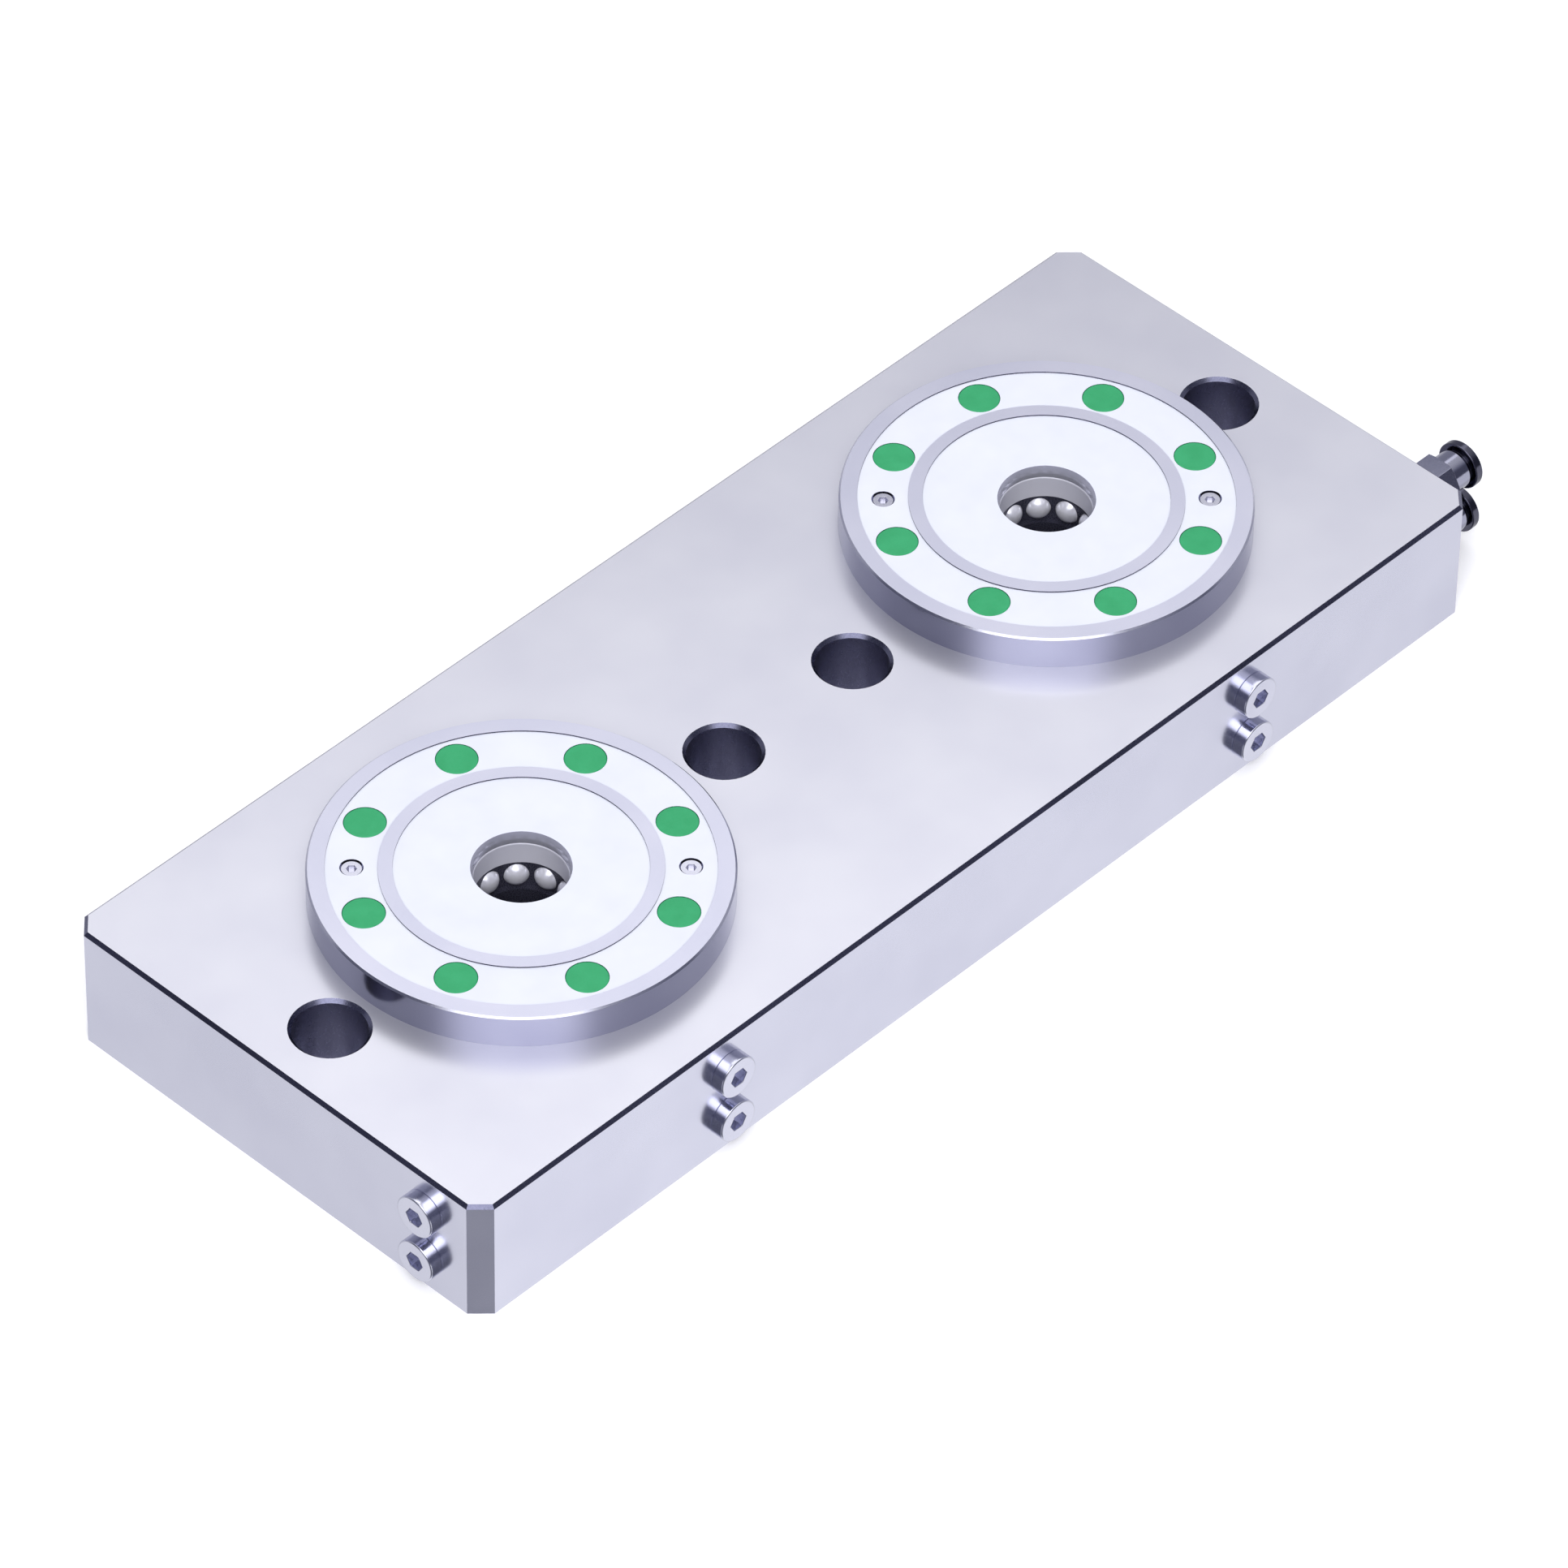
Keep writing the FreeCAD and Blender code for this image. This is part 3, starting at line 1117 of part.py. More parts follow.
def export_pieces(pieces):
    """Check every object, then write one STEP file for each piece."""
    doc.recompute()
    for item in doc.Objects:
        if "Invalid" in item.State or "Error" in item.State:
            raise RuntimeError(f"{item.Label} has the state {item.State}")
    for piece in pieces:
        check(piece)
    os.makedirs("parts", exist_ok=True)
    for piece in pieces:
        piece.Shape.exportStep(os.path.join("parts", f"{piece.Label}.step"))
        print(piece.Label, len(piece.Shape.Solids), round(piece.Shape.Volume, 1))


export_pieces(build_everything())
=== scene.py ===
import json
import math
import bmesh
import bpy
from mathutils import Matrix, Vector


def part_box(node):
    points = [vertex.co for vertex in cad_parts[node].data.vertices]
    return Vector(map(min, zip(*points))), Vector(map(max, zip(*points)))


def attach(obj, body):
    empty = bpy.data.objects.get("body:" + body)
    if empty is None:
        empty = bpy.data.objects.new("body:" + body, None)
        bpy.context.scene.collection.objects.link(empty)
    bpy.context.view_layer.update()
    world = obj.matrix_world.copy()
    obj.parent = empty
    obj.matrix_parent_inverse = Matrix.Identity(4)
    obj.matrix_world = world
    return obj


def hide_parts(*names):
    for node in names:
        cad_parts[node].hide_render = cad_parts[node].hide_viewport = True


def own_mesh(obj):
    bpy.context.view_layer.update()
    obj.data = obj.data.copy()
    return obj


# A double zero-point chuck in satin steel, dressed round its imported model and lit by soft
# studio light. Lengths are in metres, and +Z is up.

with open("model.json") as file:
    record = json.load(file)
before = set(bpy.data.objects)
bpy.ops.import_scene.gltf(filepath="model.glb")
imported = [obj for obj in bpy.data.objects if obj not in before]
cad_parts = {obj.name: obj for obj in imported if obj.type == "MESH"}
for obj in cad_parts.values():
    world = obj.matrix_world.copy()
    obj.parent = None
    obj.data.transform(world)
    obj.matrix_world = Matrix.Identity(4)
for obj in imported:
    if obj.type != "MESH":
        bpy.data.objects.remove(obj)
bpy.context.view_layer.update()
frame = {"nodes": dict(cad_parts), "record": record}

MM = 0.001
SIDES = ("left", "right")
MATH, RANGE, NOISE = "ShaderNodeMath", "ShaderNodeMapRange", "ShaderNodeTexNoise"
SMOOTH = {"interpolation_type": "SMOOTHSTEP"}
FIRST_COLOUR, SECOND_COLOUR = 6, 7  # a Mix node's colour inputs


def middle(node):
    low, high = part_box(node)
    return (low + high) / 2


# How far the screw caps stand above the white faces round them
CAPS_PROUD = 0.05 * MM

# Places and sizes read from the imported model
PLATE_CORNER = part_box("base_plate")[1]
PLATE_TOP = PLATE_CORNER.z
CHUCK = {side: middle(f"{side}_chuck_body").to_2d().to_3d() for side in SIDES}
CONTACT_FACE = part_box("left_chuck_body")[1].z
WHITE_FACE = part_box("left_screw_caps")[1].z - CAPS_PROUD
SPRINGS_LOW, SPRINGS_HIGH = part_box("left_clamp_springs")

# Sizes of the real object that the boxes don't show
CORNER_CUT, EDGE_CUT, WELL_RADIUS = 5 * MM, 1 * MM, 10 * MM
WELL_PLACES = [Vector((x * MM, 0)) for x in (-169.5, -24.5, 24.5, 169.5)]
SPRING_COIL, SPRING_WIRE, SPRING_TURNS, SPRINGS_IN_RING = 3.2 * MM, 1.2 * MM, 7, 12
SPRING_LENGTH = SPRINGS_HIGH.z - SPRINGS_LOW.z
SPRING_CIRCLE = (SPRINGS_HIGH.x - SPRINGS_LOW.x) / 2 - SPRING_COIL - SPRING_WIRE / 2

# How far from a chuck's axis its mouth ends, its stepped rings lie and its outer side starts
MOUTH_REACH, RINGS_FROM, RINGS_TO, SIDE_REACH = 20 * MM, 30 * MM, 52 * MM, 55 * MM
# What tells faces apart: a normal's part along an axis, and how near a face lies to its place
LEVEL, NEARLY_LEVEL, CUT_FROM, CUT_TO, UPRIGHT = 0.99, 0.9, 0.6, 0.8, 0.2
NEAR = 0.1 * MM
# Edges sharper than this are rounded off, and seams flatter than this are merged
SHARP_EDGE, FLAT_SEAM = math.radians(28), math.radians(0.1)


def rgb(text):
    """An sRGB hex colour as linear red, green, blue and alpha."""
    values = [int(text[start:start + 2], 16) / 255 for start in (0, 2, 4)]
    linear = [v / 12.92 if v <= 0.04045 else ((v + 0.055) / 1.055) ** 2.4 for v in values]
    return (*linear, 1.0)


def set_up(node, settings=None, links=None):
    """Sets a node's properties or input values, and feeds its inputs.

    A link comes from a socket, or from a node's first enabled output.
    """
    for name, value in (settings or {}).items():
        if isinstance(name, str) and hasattr(node, name) and name not in node.inputs:
            setattr(node, name, value)
        else:
            node.inputs[name].default_value = value
    for name, source in (links or {}).items():
        if isinstance(source, bpy.types.Node):
            source = next(socket for socket in source.outputs if socket.enabled)
        node.id_data.links.new(source, node.inputs[name])
    return node


def add_node(tree, kind, settings=None, links=None):
    """Adds a node with its settings and links."""
    return set_up(tree.nodes.new(kind), settings, links)


def finish(name, dark, light, roughness, grain, bump, metallic=1.0, spot=30 * MM):
    """A surface with cloudy patches of two colours, and a fine grain in its sheen and relief.

    Grain and spot are the distances between grains and between patches.
    """
    material = bpy.data.materials.new(name)
    material.use_nodes = True
    tree = material.node_tree
    place = add_node(tree, "ShaderNodeTexCoord").outputs["Object"]
    clouds = add_node(tree, NOISE, {"Scale": 1 / spot, "Detail": 2.0}, {"Vector": place})
    patches = add_node(tree, RANGE, {"From Min": 0.3, "From Max": 0.7}, {"Value": clouds})
    colour = add_node(tree, "ShaderNodeMix",
                      {"data_type": "RGBA", FIRST_COLOUR: rgb(dark), SECOND_COLOUR: rgb(light)},
                      {"Factor": patches})
    fine = add_node(tree, NOISE, {"Scale": 1 / grain, "Detail": 4.0}, {"Vector": place})
    sheen = add_node(tree, RANGE, {"From Min": 0.3, "From Max": 0.7, "To Min": roughness[0],
                                   "To Max": roughness[1]}, {"Value": fine})
    relief = add_node(tree, "ShaderNodeBump", {"Strength": bump, "Distance": 0.02 * MM},
                      {"Height": fine})
    set_up(tree.nodes["Principled BSDF"], {"Metallic": metallic},
           {"Base Color": colour, "Roughness": sheen, "Normal": relief})
    return material


# Finishes
# Ground and nickel-plated steel: a pale satin that still mirrors what stands on it
PLATE_STEEL = finish("ground_nickel_plated_steel", "d4d5e6", "dbdcec", (0.16, 0.22), 0.5 * MM,
                     0.06)
# Top of the plate, ground and then finely blasted: a wider, duller sheen than the sides
TOP_STEEL = finish("fine_blasted_top_steel", "dcdce6", "e4e4ec", (0.28, 0.31), 0.8 * MM, 0.01,
                   metallic=0.75)
# Milled edge round the plate's top: rougher than the ground faces, with a painted dark reflection
# that makes it darker
EDGE_DARK_REFLECTION = finish("milled_edge_painted_reflection", "6a6b80", "80819a", (0.16, 0.32), 0.5 * MM, 0.55)
# Corner faces and bolt seats of the plate, cut with a coarser mill and left matt
CORNER_STEEL = finish("coarse_milled_steel", "c8c9da", "d4d5e4", (0.46, 0.56), 0.5 * MM, 0.30,
                      metallic=0.88)
# Bored wall of the bolt wells, with painted shade: darker than the plate's faces
WELL_SHADE_STEEL = finish("bored_well_painted_shade", "a2a2b6", "b2b2c4", (0.26, 0.38), 0.4 * MM, 0.15)
# Fine-turned stainless steel of the flange: like the plate, with a grittier skin
FLANGE_STEEL = finish("fine_turned_stainless_steel", "d4d5e6", "dcddec", (0.14, 0.24),
                      0.4 * MM, 0.22)
# Turned side of the flange, with painted shade: its colour is darker than its ground faces
FLANGE_SIDE_SHADE = finish("turned_side_painted_shade", "a8a9be", "b2b3c6", (0.14, 0.22), 0.4 * MM, 0.12)
# Ground contact rings: flat and light grey
RING_STEEL = finish("ground_contact_steel", "d9daea", "e3e3f1", (0.30, 0.38), 0.4 * MM, 0.08)
# Turned steps beside the rings, with painted shade: their dark colour draws a thin dark line round
# each ring
STEP_SHADE_STEEL = finish("turned_step_painted_shade", "4a4a5c", "5c5c70", (0.25, 0.35), 0.4 * MM, 0.10)
# Hardened and ground bushes, pistons and covers: a dull pale grey
BUSH_STEEL = finish("hardened_ground_steel", "cacad6", "d4d4de", (0.38, 0.50), 0.3 * MM, 0.12,
                    metallic=0.15)
# Honed wall of the mouth above the bush: it mirrors softly
MOUTH_STEEL = finish("honed_mouth_steel", "d2d3e2", "dadbe8", (0.16, 0.24), 0.3 * MM, 0.08,
                     metallic=0.65)
# Blued cage round the balls: nearly black where it shows
CAGE_STEEL = finish("blued_cage_steel", "3e3e4c", "4a4a5a", (0.22, 0.34), 0.3 * MM, 0.05,
                    metallic=0.5)
# Lapped bearing steel of the balls: pale with a soft shine
BALL_STEEL = finish("lapped_bearing_steel", "e4e4ef", "eeeef6", (0.18, 0.25), 0.3 * MM, 0.04,
                    metallic=0.45)
# Satin plating of the port plugs
PLUG_STEEL = finish("satin_chrome_plated_steel", "d6d7e8", "e0e1f0", (0.12, 0.22),
                    0.35 * MM, 0.20)
# Nickel-plated brass of the fittings: greyer than the plate, and shinier
FITTING_BRASS = finish("nickel_plated_brass", "9a9bb0", "a6a7ba", (0.10, 0.18), 0.3 * MM, 0.08)
# Black nickel of the release collars
COLLAR_NICKEL = finish("black_nickel_plated_brass", "50505f", "60606f", (0.10, 0.18), 0.3 * MM,
                       0.10)
# Black-oxide socket screws of the flanges
SCREW_STEEL = finish("black_oxide_steel", "3a3a40", "4a4a52", (0.35, 0.50), 0.3 * MM, 0.25)
# Stainless small screws
PIN_STEEL = finish("stainless_screw_steel", "d4d4e0", "e0e0ea", (0.16, 0.26), 0.3 * MM, 0.10)
# Drawn wire of the springs, and the spring-steel rings
SPRING_STEEL = finish("drawn_spring_steel", "5c5c64", "74747c", (0.25, 0.40), 0.2 * MM, 0.20)
# Satin white coating of the recessed faces, a little cool
WHITE_LACQUER = finish("satin_white_lacquer", "e5e8f5", "eaedf8", (0.42, 0.55), 0.6 * MM, 0.08,
                       metallic=0, spot=12 * MM)
# Moulded plastic of the screw caps: an even, matt green
CAP_PLASTIC = finish("moulded_green_plastic", "2aa266", "32aa6e", (0.45, 0.60), 0.5 * MM, 0.15,
                     metallic=0, spot=5 * MM)
# Nitrile rubber of the sealing rings: near black with a soft sheen
SEAL_RUBBER = finish("nitrile_rubber", "101012", "1c1c1e", (0.50, 0.70), 0.4 * MM, 0.10,
                     metallic=0, spot=5 * MM)


def dress(node, material):
    """Gives a CAD node one material."""
    mesh = frame["nodes"][node].data
    mesh.materials.clear()
    mesh.materials.append(material)


def body_of_node(node):
    return next(body for body, members in frame["record"]["behaviour"]["bodies"].items()
                if node in members)


def stand_in(piece, node):
    """Lets a finished piece take a CAD node's place and body."""
    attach(piece, body_of_node(node))
    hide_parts(node)


def soften(node, width, materials, choose=None):
    """Stands a copy in for a CAD node, with its sharp edges rounded as a deburred edge is.

    Where it has several materials, choose gives the one for each face.
    """
    mesh = frame["nodes"][node].data.copy()
    mesh.attributes.remove(mesh.attributes["custom_normal"])
    mesh.materials.clear()
    for material in materials:
        mesh.materials.append(material)
    shape = bmesh.new()
    shape.from_mesh(mesh)
    bmesh.ops.remove_doubles(shape, verts=shape.verts, dist=0.001 * MM)
    bmesh.ops.dissolve_limit(shape, angle_limit=FLAT_SEAM, verts=shape.verts,
                             edges=shape.edges, delimit=set())
    for face in shape.faces:
        face.smooth = True
        face.material_index = materials.index(choose(face)) if choose else 0
    shape.to_mesh(mesh)
    shape.free()
    piece = bpy.data.objects.new(f"{node}_body", mesh)
    bpy.context.scene.collection.objects.link(piece)
    bevel = piece.modifiers.new("edges", "BEVEL")
    bevel.width = width
    bevel.segments = 2
    bevel.limit_method = "ANGLE"
    bevel.angle_limit = SHARP_EDGE
    shading = piece.modifiers.new("shading", "WEIGHTED_NORMAL")
    shading.mode = "FACE_AREA"
    shading.weight = 100
    bake(piece)
    stand_in(piece, node)


def bake(piece):
    """Applies a piece's modifiers to its mesh."""
    graph = bpy.context.evaluated_depsgraph_get()
    mesh = bpy.data.meshes.new_from_object(piece.evaluated_get(graph))
    piece.modifiers.clear()
    piece.data = mesh


def new_tree(name, inputs):
    """A geometry tree with named inputs. Returns it with its input and output nodes."""
    tree = bpy.data.node_groups.new(name, "GeometryNodeTree")
    for label, kind in inputs:
        tree.interface.new_socket(label, in_out="INPUT", socket_type=f"NodeSocket{kind}")
    tree.interface.new_socket("Geometry", in_out="OUTPUT", socket_type="NodeSocketGeometry")
    given = add_node(tree, "NodeGroupInput").outputs
    return tree, given, add_node(tree, "NodeGroupOutput")


def finish_tree(tree, given, end, geometry):
    """Ends a tree in plain, smooth geometry with its material."""
    real = add_node(tree, "GeometryNodeRealizeInstances", links={"Geometry": geometry})
    smooth = add_node(tree, "GeometryNodeSetShadeSmooth", links={"Geometry": real})
    dressed = add_node(tree, "GeometryNodeSetMaterial",
                       links={"Geometry": smooth, "Material": given["Material"]})
    set_up(end, links={0: dressed})


def grown(name, tree, values):
    """A plain mesh object made by a tree, with its named inputs set."""
    piece = bpy.data.objects.new(name, bpy.data.meshes.new(name))
    bpy.context.scene.collection.objects.link(piece)
    grow = piece.modifiers.new("grow", "NODES")
    grow.node_group = tree
    for socket in tree.interface.items_tree:
        if socket.in_out == "INPUT":
            grow[socket.identifier] = values[socket.name]
    bake(piece)
    return piece


def spring_tree():
    """A round-wire compression spring on the Z axis, its end turns closed and its pitch even."""
    tree, given, end = new_tree("compression_spring", [
        ("Coil radius", "Float"), ("Wire radius", "Float"), ("Turns", "Float"),
        ("Length", "Float"), ("Steps per turn", "Int"), ("Material", "Material")])
    coil = add_node(tree, "GeometryNodeCurveSpiral", {"Height": 0.0}, {
        "Resolution": given["Steps per turn"], "Rotations": given["Turns"],
        "Start Radius": given["Coil radius"], "End Radius": given["Coil radius"]})
    index = add_node(tree, "GeometryNodeInputIndex")
    turn = add_node(tree, MATH, {"operation": "DIVIDE"}, {0: index, 1: given["Steps per turn"]})
    last_turn = add_node(tree, MATH, {"operation": "SUBTRACT", 1: 1.0}, {0: given["Turns"]})
    wire = add_node(tree, MATH, {"operation": "MULTIPLY", 1: 2.0}, {0: given["Wire radius"]})
    # The closed turns at both ends and the wire itself take three wires of the length
    open_rise = add_node(tree, MATH, {"operation": "MULTIPLY_ADD", 1: -3.0},
                         {0: wire, 2: given["Length"]})
    lower_end = add_node(tree, RANGE, links={"Value": turn, "To Max": wire})
    open_part = add_node(tree, RANGE, {"From Min": 1.0},
                         {"Value": turn, "From Max": last_turn, "To Max": open_rise})
    upper_end = add_node(tree, RANGE, links={"Value": turn, "From Min": last_turn,
                                             "From Max": given["Turns"], "To Max": wire})
    ends = add_node(tree, MATH, {"operation": "ADD"}, {0: lower_end, 1: upper_end})
    rise = add_node(tree, MATH, {"operation": "ADD"}, {0: ends, 1: open_part})
    rise = add_node(tree, MATH, {"operation": "ADD"}, {0: rise, 1: given["Wire radius"]})
    offset = add_node(tree, "ShaderNodeCombineXYZ", links={"Z": rise})
    placed = add_node(tree, "GeometryNodeSetPosition", links={"Geometry": coil, "Offset": offset})
    section = add_node(tree, "GeometryNodeCurvePrimitiveCircle", {"Resolution": 10},
                       {"Radius": given["Wire radius"]})
    swept = add_node(tree, "GeometryNodeCurveToMesh", {"Fill Caps": True},
                     {"Curve": placed, "Profile Curve": section})
    finish_tree(tree, given, end, swept)
    return tree


def ring_tree():
    """Copies of one piece on a circle, each turned with it."""
    tree, given, end = new_tree("ring_of_pieces", [
        ("Piece", "Object"), ("Count", "Int"), ("Circle radius", "Float"), ("Centre", "Vector"),
        ("Material", "Material")])
    points = add_node(tree, "GeometryNodePoints", links={"Count": given["Count"]})
    index = add_node(tree, "GeometryNodeInputIndex")
    step = add_node(tree, MATH, {"operation": "DIVIDE", 0: math.tau}, {1: given["Count"]})
    angle = add_node(tree, MATH, {"operation": "MULTIPLY"}, {0: index, 1: step})
    turned = add_node(tree, "ShaderNodeCombineXYZ", links={"Z": angle})
    arm = add_node(tree, "ShaderNodeCombineXYZ", links={"X": given["Circle radius"]})
    arm = add_node(tree, "ShaderNodeVectorRotate", {"rotation_type": "Z_AXIS"},
                   {"Vector": arm, "Angle": angle})
    place = add_node(tree, "ShaderNodeVectorMath", {"operation": "ADD"},
                     {0: arm, 1: given["Centre"]})
    points = add_node(tree, "GeometryNodeSetPosition",
                      links={"Geometry": points, "Position": place})
    seed = add_node(tree, "GeometryNodeObjectInfo", {"transform_space": "ORIGINAL"},
                    {"Object": given["Piece"]})
    copies = add_node(tree, "GeometryNodeInstanceOnPoints",
                      links={"Points": points, "Instance": seed.outputs["Geometry"],
                             "Rotation": turned})
    finish_tree(tree, given, end, copies)
    return tree


def build_springs():
    """A ring of springs over each piston."""
    coil = grown("one_spring", spring_tree(), {
        "Coil radius": SPRING_COIL, "Wire radius": SPRING_WIRE / 2, "Turns": float(SPRING_TURNS),
        "Length": SPRING_LENGTH, "Steps per turn": 32, "Material": SPRING_STEEL})
    ring = ring_tree()
    for side in SIDES:
        foot = CHUCK[side] + Vector((0, 0, SPRINGS_LOW.z))
        piece = grown(f"{side}_springs", ring, {
            "Piece": coil, "Count": SPRINGS_IN_RING, "Circle radius": SPRING_CIRCLE,
            "Centre": foot, "Material": SPRING_STEEL})
        stand_in(piece, f"{side}_clamp_springs")
        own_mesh(piece)
    bpy.data.objects.remove(coil)


def looks_up_at(face, height):
    """Whether a face is level, looks up and lies at a height."""
    return face.normal.z > LEVEL and abs(face.calc_center_median().z - height) < NEAR


def chuck_finish(centre):
    """Lacquer in the recessed faces and ground steel on the raised rings, with painted shade on
    the steps.

    The wall of the mouth is honed, and the outer side is turned, with painted shade.
    """
    def choose(face):
        if looks_up_at(face, WHITE_FACE):
            return WHITE_LACQUER
        if looks_up_at(face, CONTACT_FACE):
            return RING_STEEL
        place = face.calc_center_median()
        reach = (place - centre).to_2d().length
        upright = abs(face.normal.z) < UPRIGHT
        if reach < MOUTH_REACH and PLATE_TOP < place.z < WHITE_FACE:
            return MOUTH_STEEL
        # The outer side gets a colour darkened as painted shade
        if upright and reach > SIDE_REACH and PLATE_TOP + 2 * NEAR < place.z < WHITE_FACE:
            return FLANGE_SIDE_SHADE
        # Upright faces between the rings get a dark colour as painted shade
        in_rings = RINGS_FROM < reach < RINGS_TO and (
            WHITE_FACE - NEAR / 2 < place.z < CONTACT_FACE)
        return STEP_SHADE_STEEL if in_rings and upright else FLANGE_STEEL
    return choose


def plate_finish(face):
    """Blasted top, milled top edges with a painted dark reflection, matt corners and bolt seats,
    bored wells with painted shade, ground sides.
    """
    if looks_up_at(face, PLATE_TOP):
        return TOP_STEEL
    place = face.calc_center_median()
    below_edge = PLATE_TOP - 1.2 * EDGE_CUT
    if min(abs(face.normal.x), abs(face.normal.y)) > CUT_FROM and (
            abs(place.x) > PLATE_CORNER.x - 2 * CORNER_CUT):
        return CORNER_STEEL
    if any((place.to_2d() - well).length < WELL_RADIUS + NEAR for well in WELL_PLACES):
        if face.normal.z > NEARLY_LEVEL:
            return CORNER_STEEL
        # Walls deep in the wells get a colour darkened as painted shade
        return WELL_SHADE_STEEL if place.z < below_edge else PLATE_STEEL
    # The milled edge gets a colour darkened as a painted dark reflection
    in_edge = CUT_FROM < abs(face.normal.z) < CUT_TO and place.z > below_edge
    return EDGE_DARK_REFLECTION if in_edge else PLATE_STEEL


def build_camera():
    """The photograph's view, from a fit of the plate's corners and circles."""
    azimuth, elevation, roll = math.radians(-46.882), math.radians(43.701), math.radians(1.115)
    distance = 2.863562
    target = Vector((-6.339, -4.899, 18.0)) * MM
    back = Vector((math.sin(azimuth) * math.cos(elevation),
                   -math.cos(azimuth) * math.cos(elevation), math.sin(elevation)))
    across = Vector((0, 0, 1)).cross(back).normalized()
    upward = back.cross(across)
    across, upward = (across * math.cos(roll) + upward * math.sin(roll),
                      upward * math.cos(roll) - across * math.sin(roll))
    data = bpy.data.cameras.new("camera")
    data.sensor_width = 36
    data.lens = 247.78
    data.clip_start = 0.1
    data.clip_end = 20
    camera = bpy.data.objects.new("camera", data)
    bpy.context.scene.collection.objects.link(camera)
    camera.matrix_world = Matrix.Translation(target + back * distance) @ Matrix(
        (across, upward, back)).transposed().to_4x4()
    bpy.context.scene.camera = camera


def build_floor():
    """A pale floor that keeps the shadow. Mirrored rays see it thinly, over the studio below."""
    half, glow, thinness = 6.0, 0.25, 0.93
    mesh = bpy.data.meshes.new("floor")
    mesh.from_pydata([(-half, -half, 0), (half, -half, 0), (half, half, 0), (-half, half, 0)], [],
                     [(0, 1, 2, 3)])
    floor = bpy.data.objects.new("floor", mesh)
    bpy.context.scene.collection.objects.link(floor)
    material = bpy.data.materials.new("pale_floor")
    material.use_nodes = True
    tree = material.node_tree
    path = add_node(tree, "ShaderNodeLightPath").outputs
    mirrored = add_node(tree, MATH, {"operation": "MAXIMUM"},
                        {0: path["Is Glossy Ray"], 1: path["Is Transmission Ray"]})
    seen = add_node(tree, MATH, {"operation": "MAXIMUM"}, {0: path["Is Camera Ray"], 1: mirrored})
    lift = add_node(tree, MATH, {"operation": "MULTIPLY", 1: glow}, {0: seen})
    pale = set_up(tree.nodes["Principled BSDF"],
                  {"Base Color": rgb("f2f2f4"), "Roughness": 0.9, "Specular IOR Level": 0.0,
                   "Emission Color": rgb("ffffff")}, {"Emission Strength": lift})
    thin = add_node(tree, MATH, {"operation": "MULTIPLY", 1: thinness}, {0: mirrored})
    clear = add_node(tree, "ShaderNodeBsdfTransparent")
    blend = add_node(tree, "ShaderNodeMixShader", links={0: thin, 1: pale, 2: clear})
    set_up(tree.nodes["Material Output"], links={"Surface": blend})
    mesh.materials.append(material)


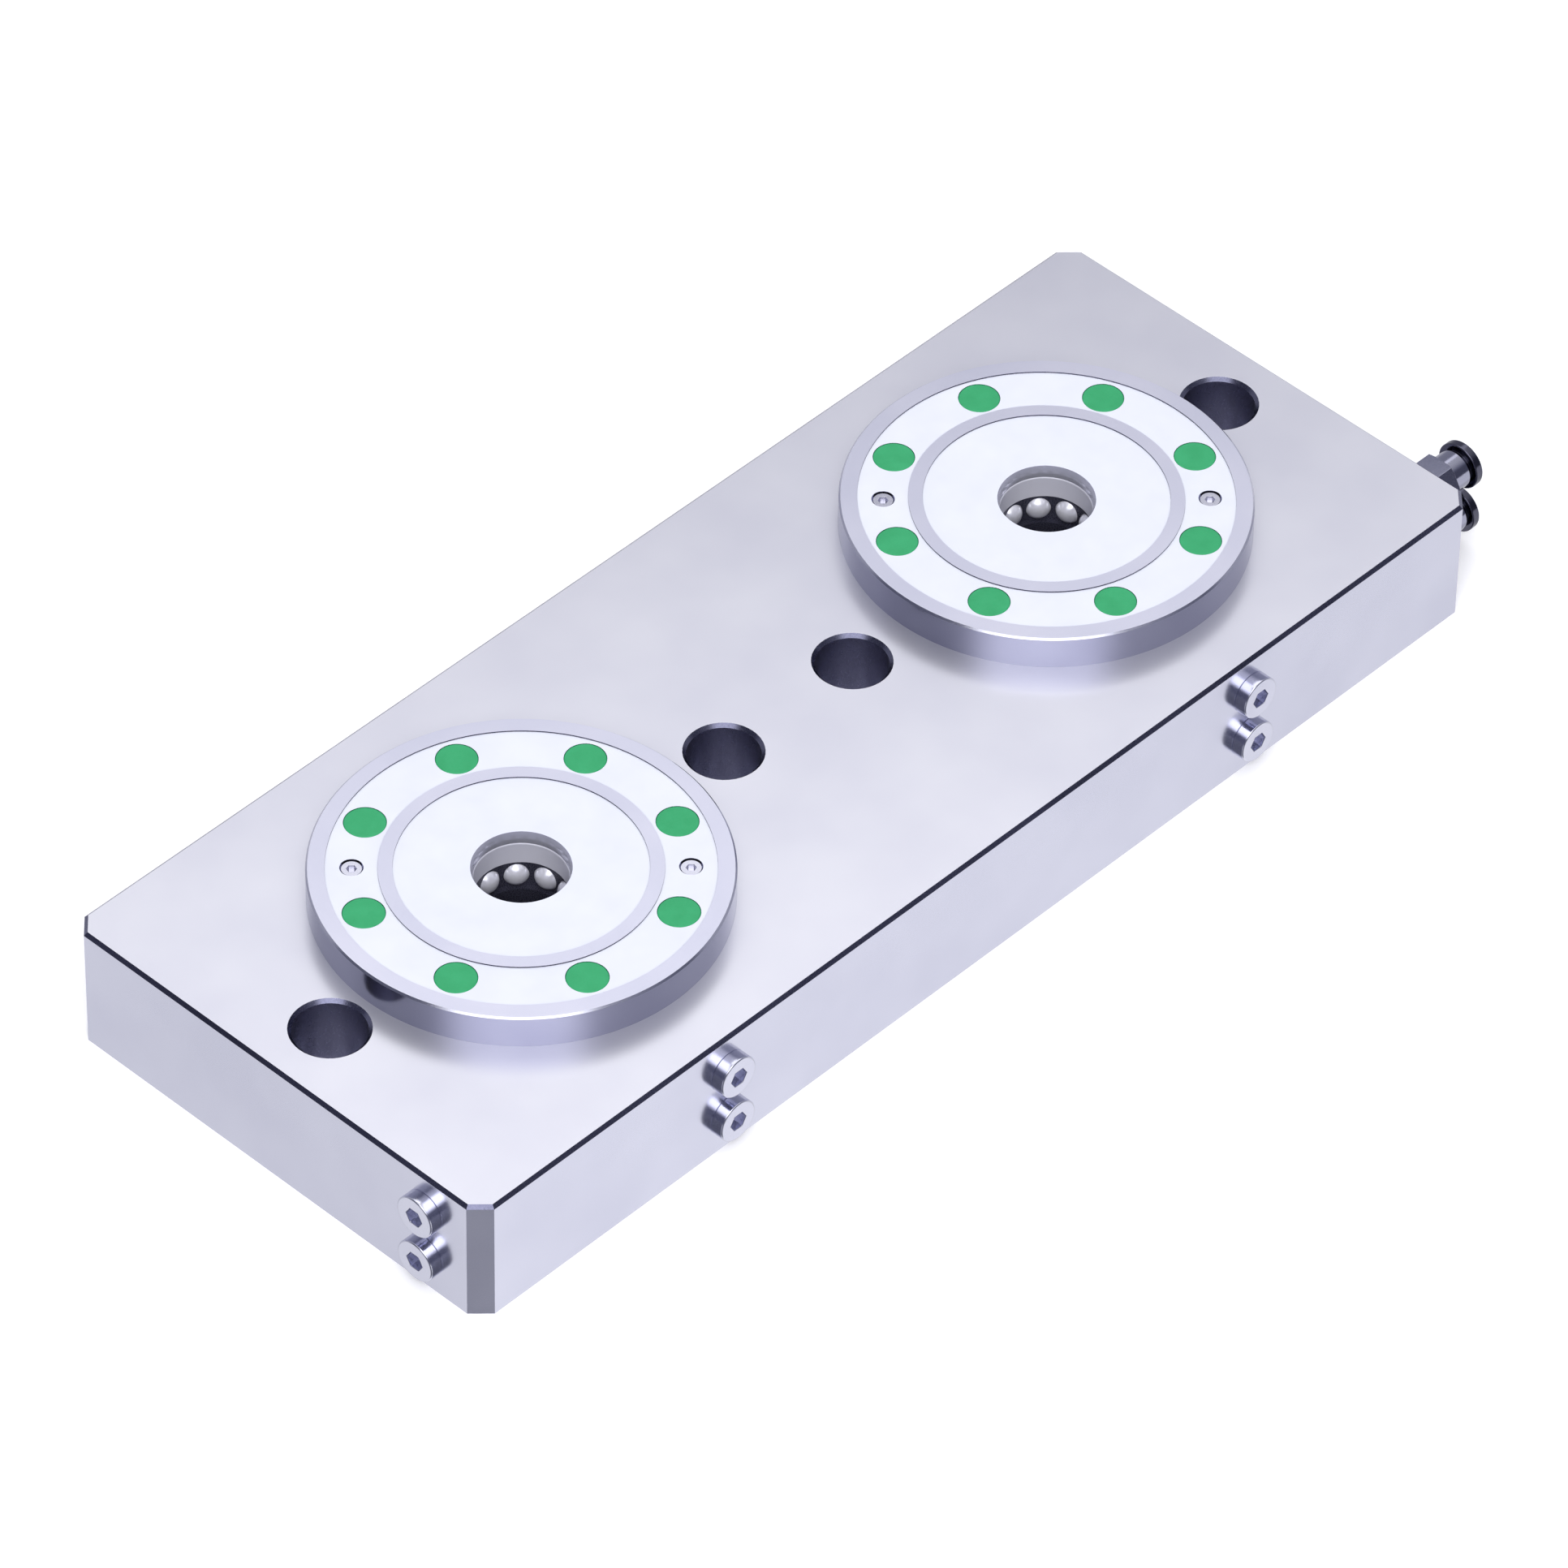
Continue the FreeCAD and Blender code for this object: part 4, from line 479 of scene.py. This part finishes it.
def build_world():
    """Soft studio surroundings, which light the part and show in its metal.

    A bright panel hangs high behind the viewer, and a paler wall stands opposite. The roof is
    light overhead and dim towards the sides, and the ground is pale but dark under the viewer.
    The camera itself sees plain white.
    """
    # Level directions ahead and to the right in the photograph's view
    ahead, right = (0.73, 0.683, 0), (0.683, -0.73, 0)
    world = bpy.data.worlds.new("studio")
    bpy.context.scene.world = world
    world.use_nodes = True
    tree = world.node_tree
    place = add_node(tree, "ShaderNodeTexCoord").outputs["Generated"]
    path = add_node(tree, "ShaderNodeLightPath").outputs
    along = add_node(tree, "ShaderNodeVectorMath",
                     {"operation": "DOT_PRODUCT", 1: ahead}, {0: place})
    across = add_node(tree, "ShaderNodeVectorMath",
                      {"operation": "DOT_PRODUCT", 1: right}, {0: place})
    height = add_node(tree, "ShaderNodeSeparateXYZ", links={0: place}).outputs["Z"]
    turn = add_node(tree, MATH, {"operation": "ARCTAN2"}, {0: across, 1: along})
    facing = add_node(tree, MATH, {"operation": "COSINE"}, {0: turn})

    far_side = add_node(tree, RANGE, {**SMOOTH, "From Min": -0.04, "From Max": 0.22},
                        {"Value": facing})
    far_rise = add_node(tree, RANGE, {**SMOOTH, "From Min": 0.10, "From Max": 0.70,
                                      "To Min": 0.45, "To Max": 0.42}, {"Value": height})
    far = add_node(tree, MATH, {"operation": "MULTIPLY"}, {0: far_side, 1: far_rise})

    near_side = add_node(tree, RANGE, {**SMOOTH, "From Min": -0.66, "From Max": -0.92},
                         {"Value": facing})
    near_rise = add_node(tree, RANGE, {**SMOOTH, "From Min": 0.40, "From Max": 0.70,
                                       "To Min": 0.14, "To Max": 2.3}, {"Value": height})
    near = add_node(tree, MATH, {"operation": "MULTIPLY"}, {0: near_side, 1: near_rise})

    roof_edge = add_node(tree, RANGE, {**SMOOTH, "From Min": -0.3, "From Max": 0.3,
                                       "To Min": 0.70, "To Max": 0.46}, {"Value": across})
    roof = add_node(tree, RANGE, {**SMOOTH, "To Min": 0.16, "To Max": 1.0},
                    {"Value": height, "From Min": roof_edge})
    walls = add_node(tree, MATH, {"operation": "MAXIMUM"}, {0: far, 1: near})
    upper = add_node(tree, MATH, {"operation": "MAXIMUM"}, {0: walls, 1: roof})

    ground_side = add_node(tree, RANGE, {**SMOOTH, "From Min": -0.55, "From Max": -0.15},
                           {"Value": along})
    beside = add_node(tree, MATH, {"operation": "ABSOLUTE"}, {0: across})
    beside = add_node(tree, RANGE, {**SMOOTH, "From Min": 0.25, "From Max": 0.60,
                                    "To Min": 0.10, "To Max": 0.70}, {"Value": beside})
    ground_side = add_node(tree, MATH, {"operation": "MAXIMUM"}, {0: ground_side, 1: beside})
    ground_tone = add_node(tree, RANGE, {**SMOOTH, "From Min": -0.3, "From Max": 0.3,
                                         "To Min": 0.80}, {"Value": across})
    ground_end = add_node(tree, RANGE, {**SMOOTH, "From Min": 0.04, "From Max": 0.17,
                                        "To Min": 1.04, "To Max": 0.74}, {"Value": along})
    ground = add_node(tree, MATH, {"operation": "MULTIPLY"}, {0: ground_side, 1: ground_tone})
    ground = add_node(tree, MATH, {"operation": "MULTIPLY"}, {0: ground, 1: ground_end})

    above = add_node(tree, RANGE, {**SMOOTH, "From Min": -0.06, "From Max": 0.02},
                     {"Value": height})
    level = add_node(tree, RANGE, links={"Value": above, "To Min": ground, "To Max": upper})
    warmth = add_node(tree, RANGE, {**SMOOTH, "From Max": 0.75}, {"Value": level})
    colour = add_node(tree, "ShaderNodeMix",
                      {"data_type": "RGBA", FIRST_COLOUR: rgb("d6daff"),
                       SECOND_COLOUR: rgb("fcfcff")}, {"Factor": warmth})
    white = add_node(tree, "ShaderNodeMix",
                     {"data_type": "RGBA", SECOND_COLOUR: rgb("ffffff")},
                     {"Factor": path["Is Camera Ray"], FIRST_COLOUR: colour})
    strength = add_node(tree, MATH, {"operation": "MAXIMUM"}, {0: level, 1: path["Is Camera Ray"]})
    set_up(tree.nodes["Background"], links={"Color": white, "Strength": strength})


def build_panel(name, place, target, size, turn, watts, mirrored=True):
    """A soft panel that looks from its place to a target, turned about its own line of sight."""
    data = bpy.data.lights.new(name, "AREA")
    data.shape = "RECTANGLE"
    data.size, data.size_y = size
    data.energy = watts
    panel = bpy.data.objects.new(name, data)
    bpy.context.scene.collection.objects.link(panel)
    sight = (Vector(place) - Vector(target)).to_track_quat("Z", "Y").to_matrix()
    panel.matrix_world = Matrix.Translation(place) @ (
        sight @ Matrix.Rotation(turn, 3, "Z")).to_4x4()
    panel.visible_camera = False
    panel.visible_glossy = mirrored


def build_lights():
    """A level panel high beyond the part, and a fill from the viewer's side.

    The fill doesn't show in the metal.
    """
    over = Vector((0.435, 0.380, 0.9))
    build_panel("top_panel", over, over.to_2d().to_3d(), size=(0.74, 0.95),
                turn=math.atan2(0.8, 0.6), watts=1.95)
    build_panel("fill_panel", (-1.16, -1.09, 1.52), (0, 0, 0.03), size=(0.8, 0.8), turn=0,
                watts=21, mirrored=False)


def dress_nodes():
    """Finishes for the nodes whose own shape is right."""
    kinds = {
        "plate_steel": PLATE_STEEL, "chuck_steel": FLANGE_STEEL, "hardened_steel": BUSH_STEEL,
        "ball_steel": BALL_STEEL, "spring_steel": SPRING_STEEL, "screw_steel": SCREW_STEEL,
        "plug_steel": PLUG_STEEL, "nickel_brass": FITTING_BRASS, "cap_plastic": CAP_PLASTIC,
        "seal_rubber": SEAL_RUBBER}
    for row in frame["record"]["subparts"]:
        dress(row["node"], kinds[row["material_slot"]])
    for side in SIDES:
        dress(f"{side}_ball_cage", CAGE_STEEL)


def build_bodies():
    """Softened stand-ins for the nodes whose edges show, and the springs."""
    soften("base_plate", 0.16 * MM,
           [PLATE_STEEL, EDGE_DARK_REFLECTION, WELL_SHADE_STEEL, TOP_STEEL, CORNER_STEEL], plate_finish)
    for side in SIDES:
        soften(f"{side}_chuck_body", 0.13 * MM,
               [FLANGE_STEEL, FLANGE_SIDE_SHADE, MOUTH_STEEL, WHITE_LACQUER, RING_STEEL, STEP_SHADE_STEEL],
               chuck_finish(CHUCK[side]))
        soften(f"{side}_guide_bush", 0.1 * MM, [BUSH_STEEL])
        soften(f"{side}_screw_caps", 0.12 * MM, [CAP_PLASTIC])
        soften(f"{side}_small_screws", 0.08 * MM, [PIN_STEEL])
    soften("port_plugs", 0.2 * MM, [PLUG_STEEL])
    build_springs()
    for level in ("upper", "lower"):
        soften(f"{level}_fitting_body", 0.12 * MM, [FITTING_BRASS])
        soften(f"{level}_release_collar", 0.12 * MM, [COLLAR_NICKEL])


build_camera()
build_floor()
build_world()
build_lights()
dress_nodes()
build_bodies()

bpy.context.scene.view_settings.view_transform = "Standard"
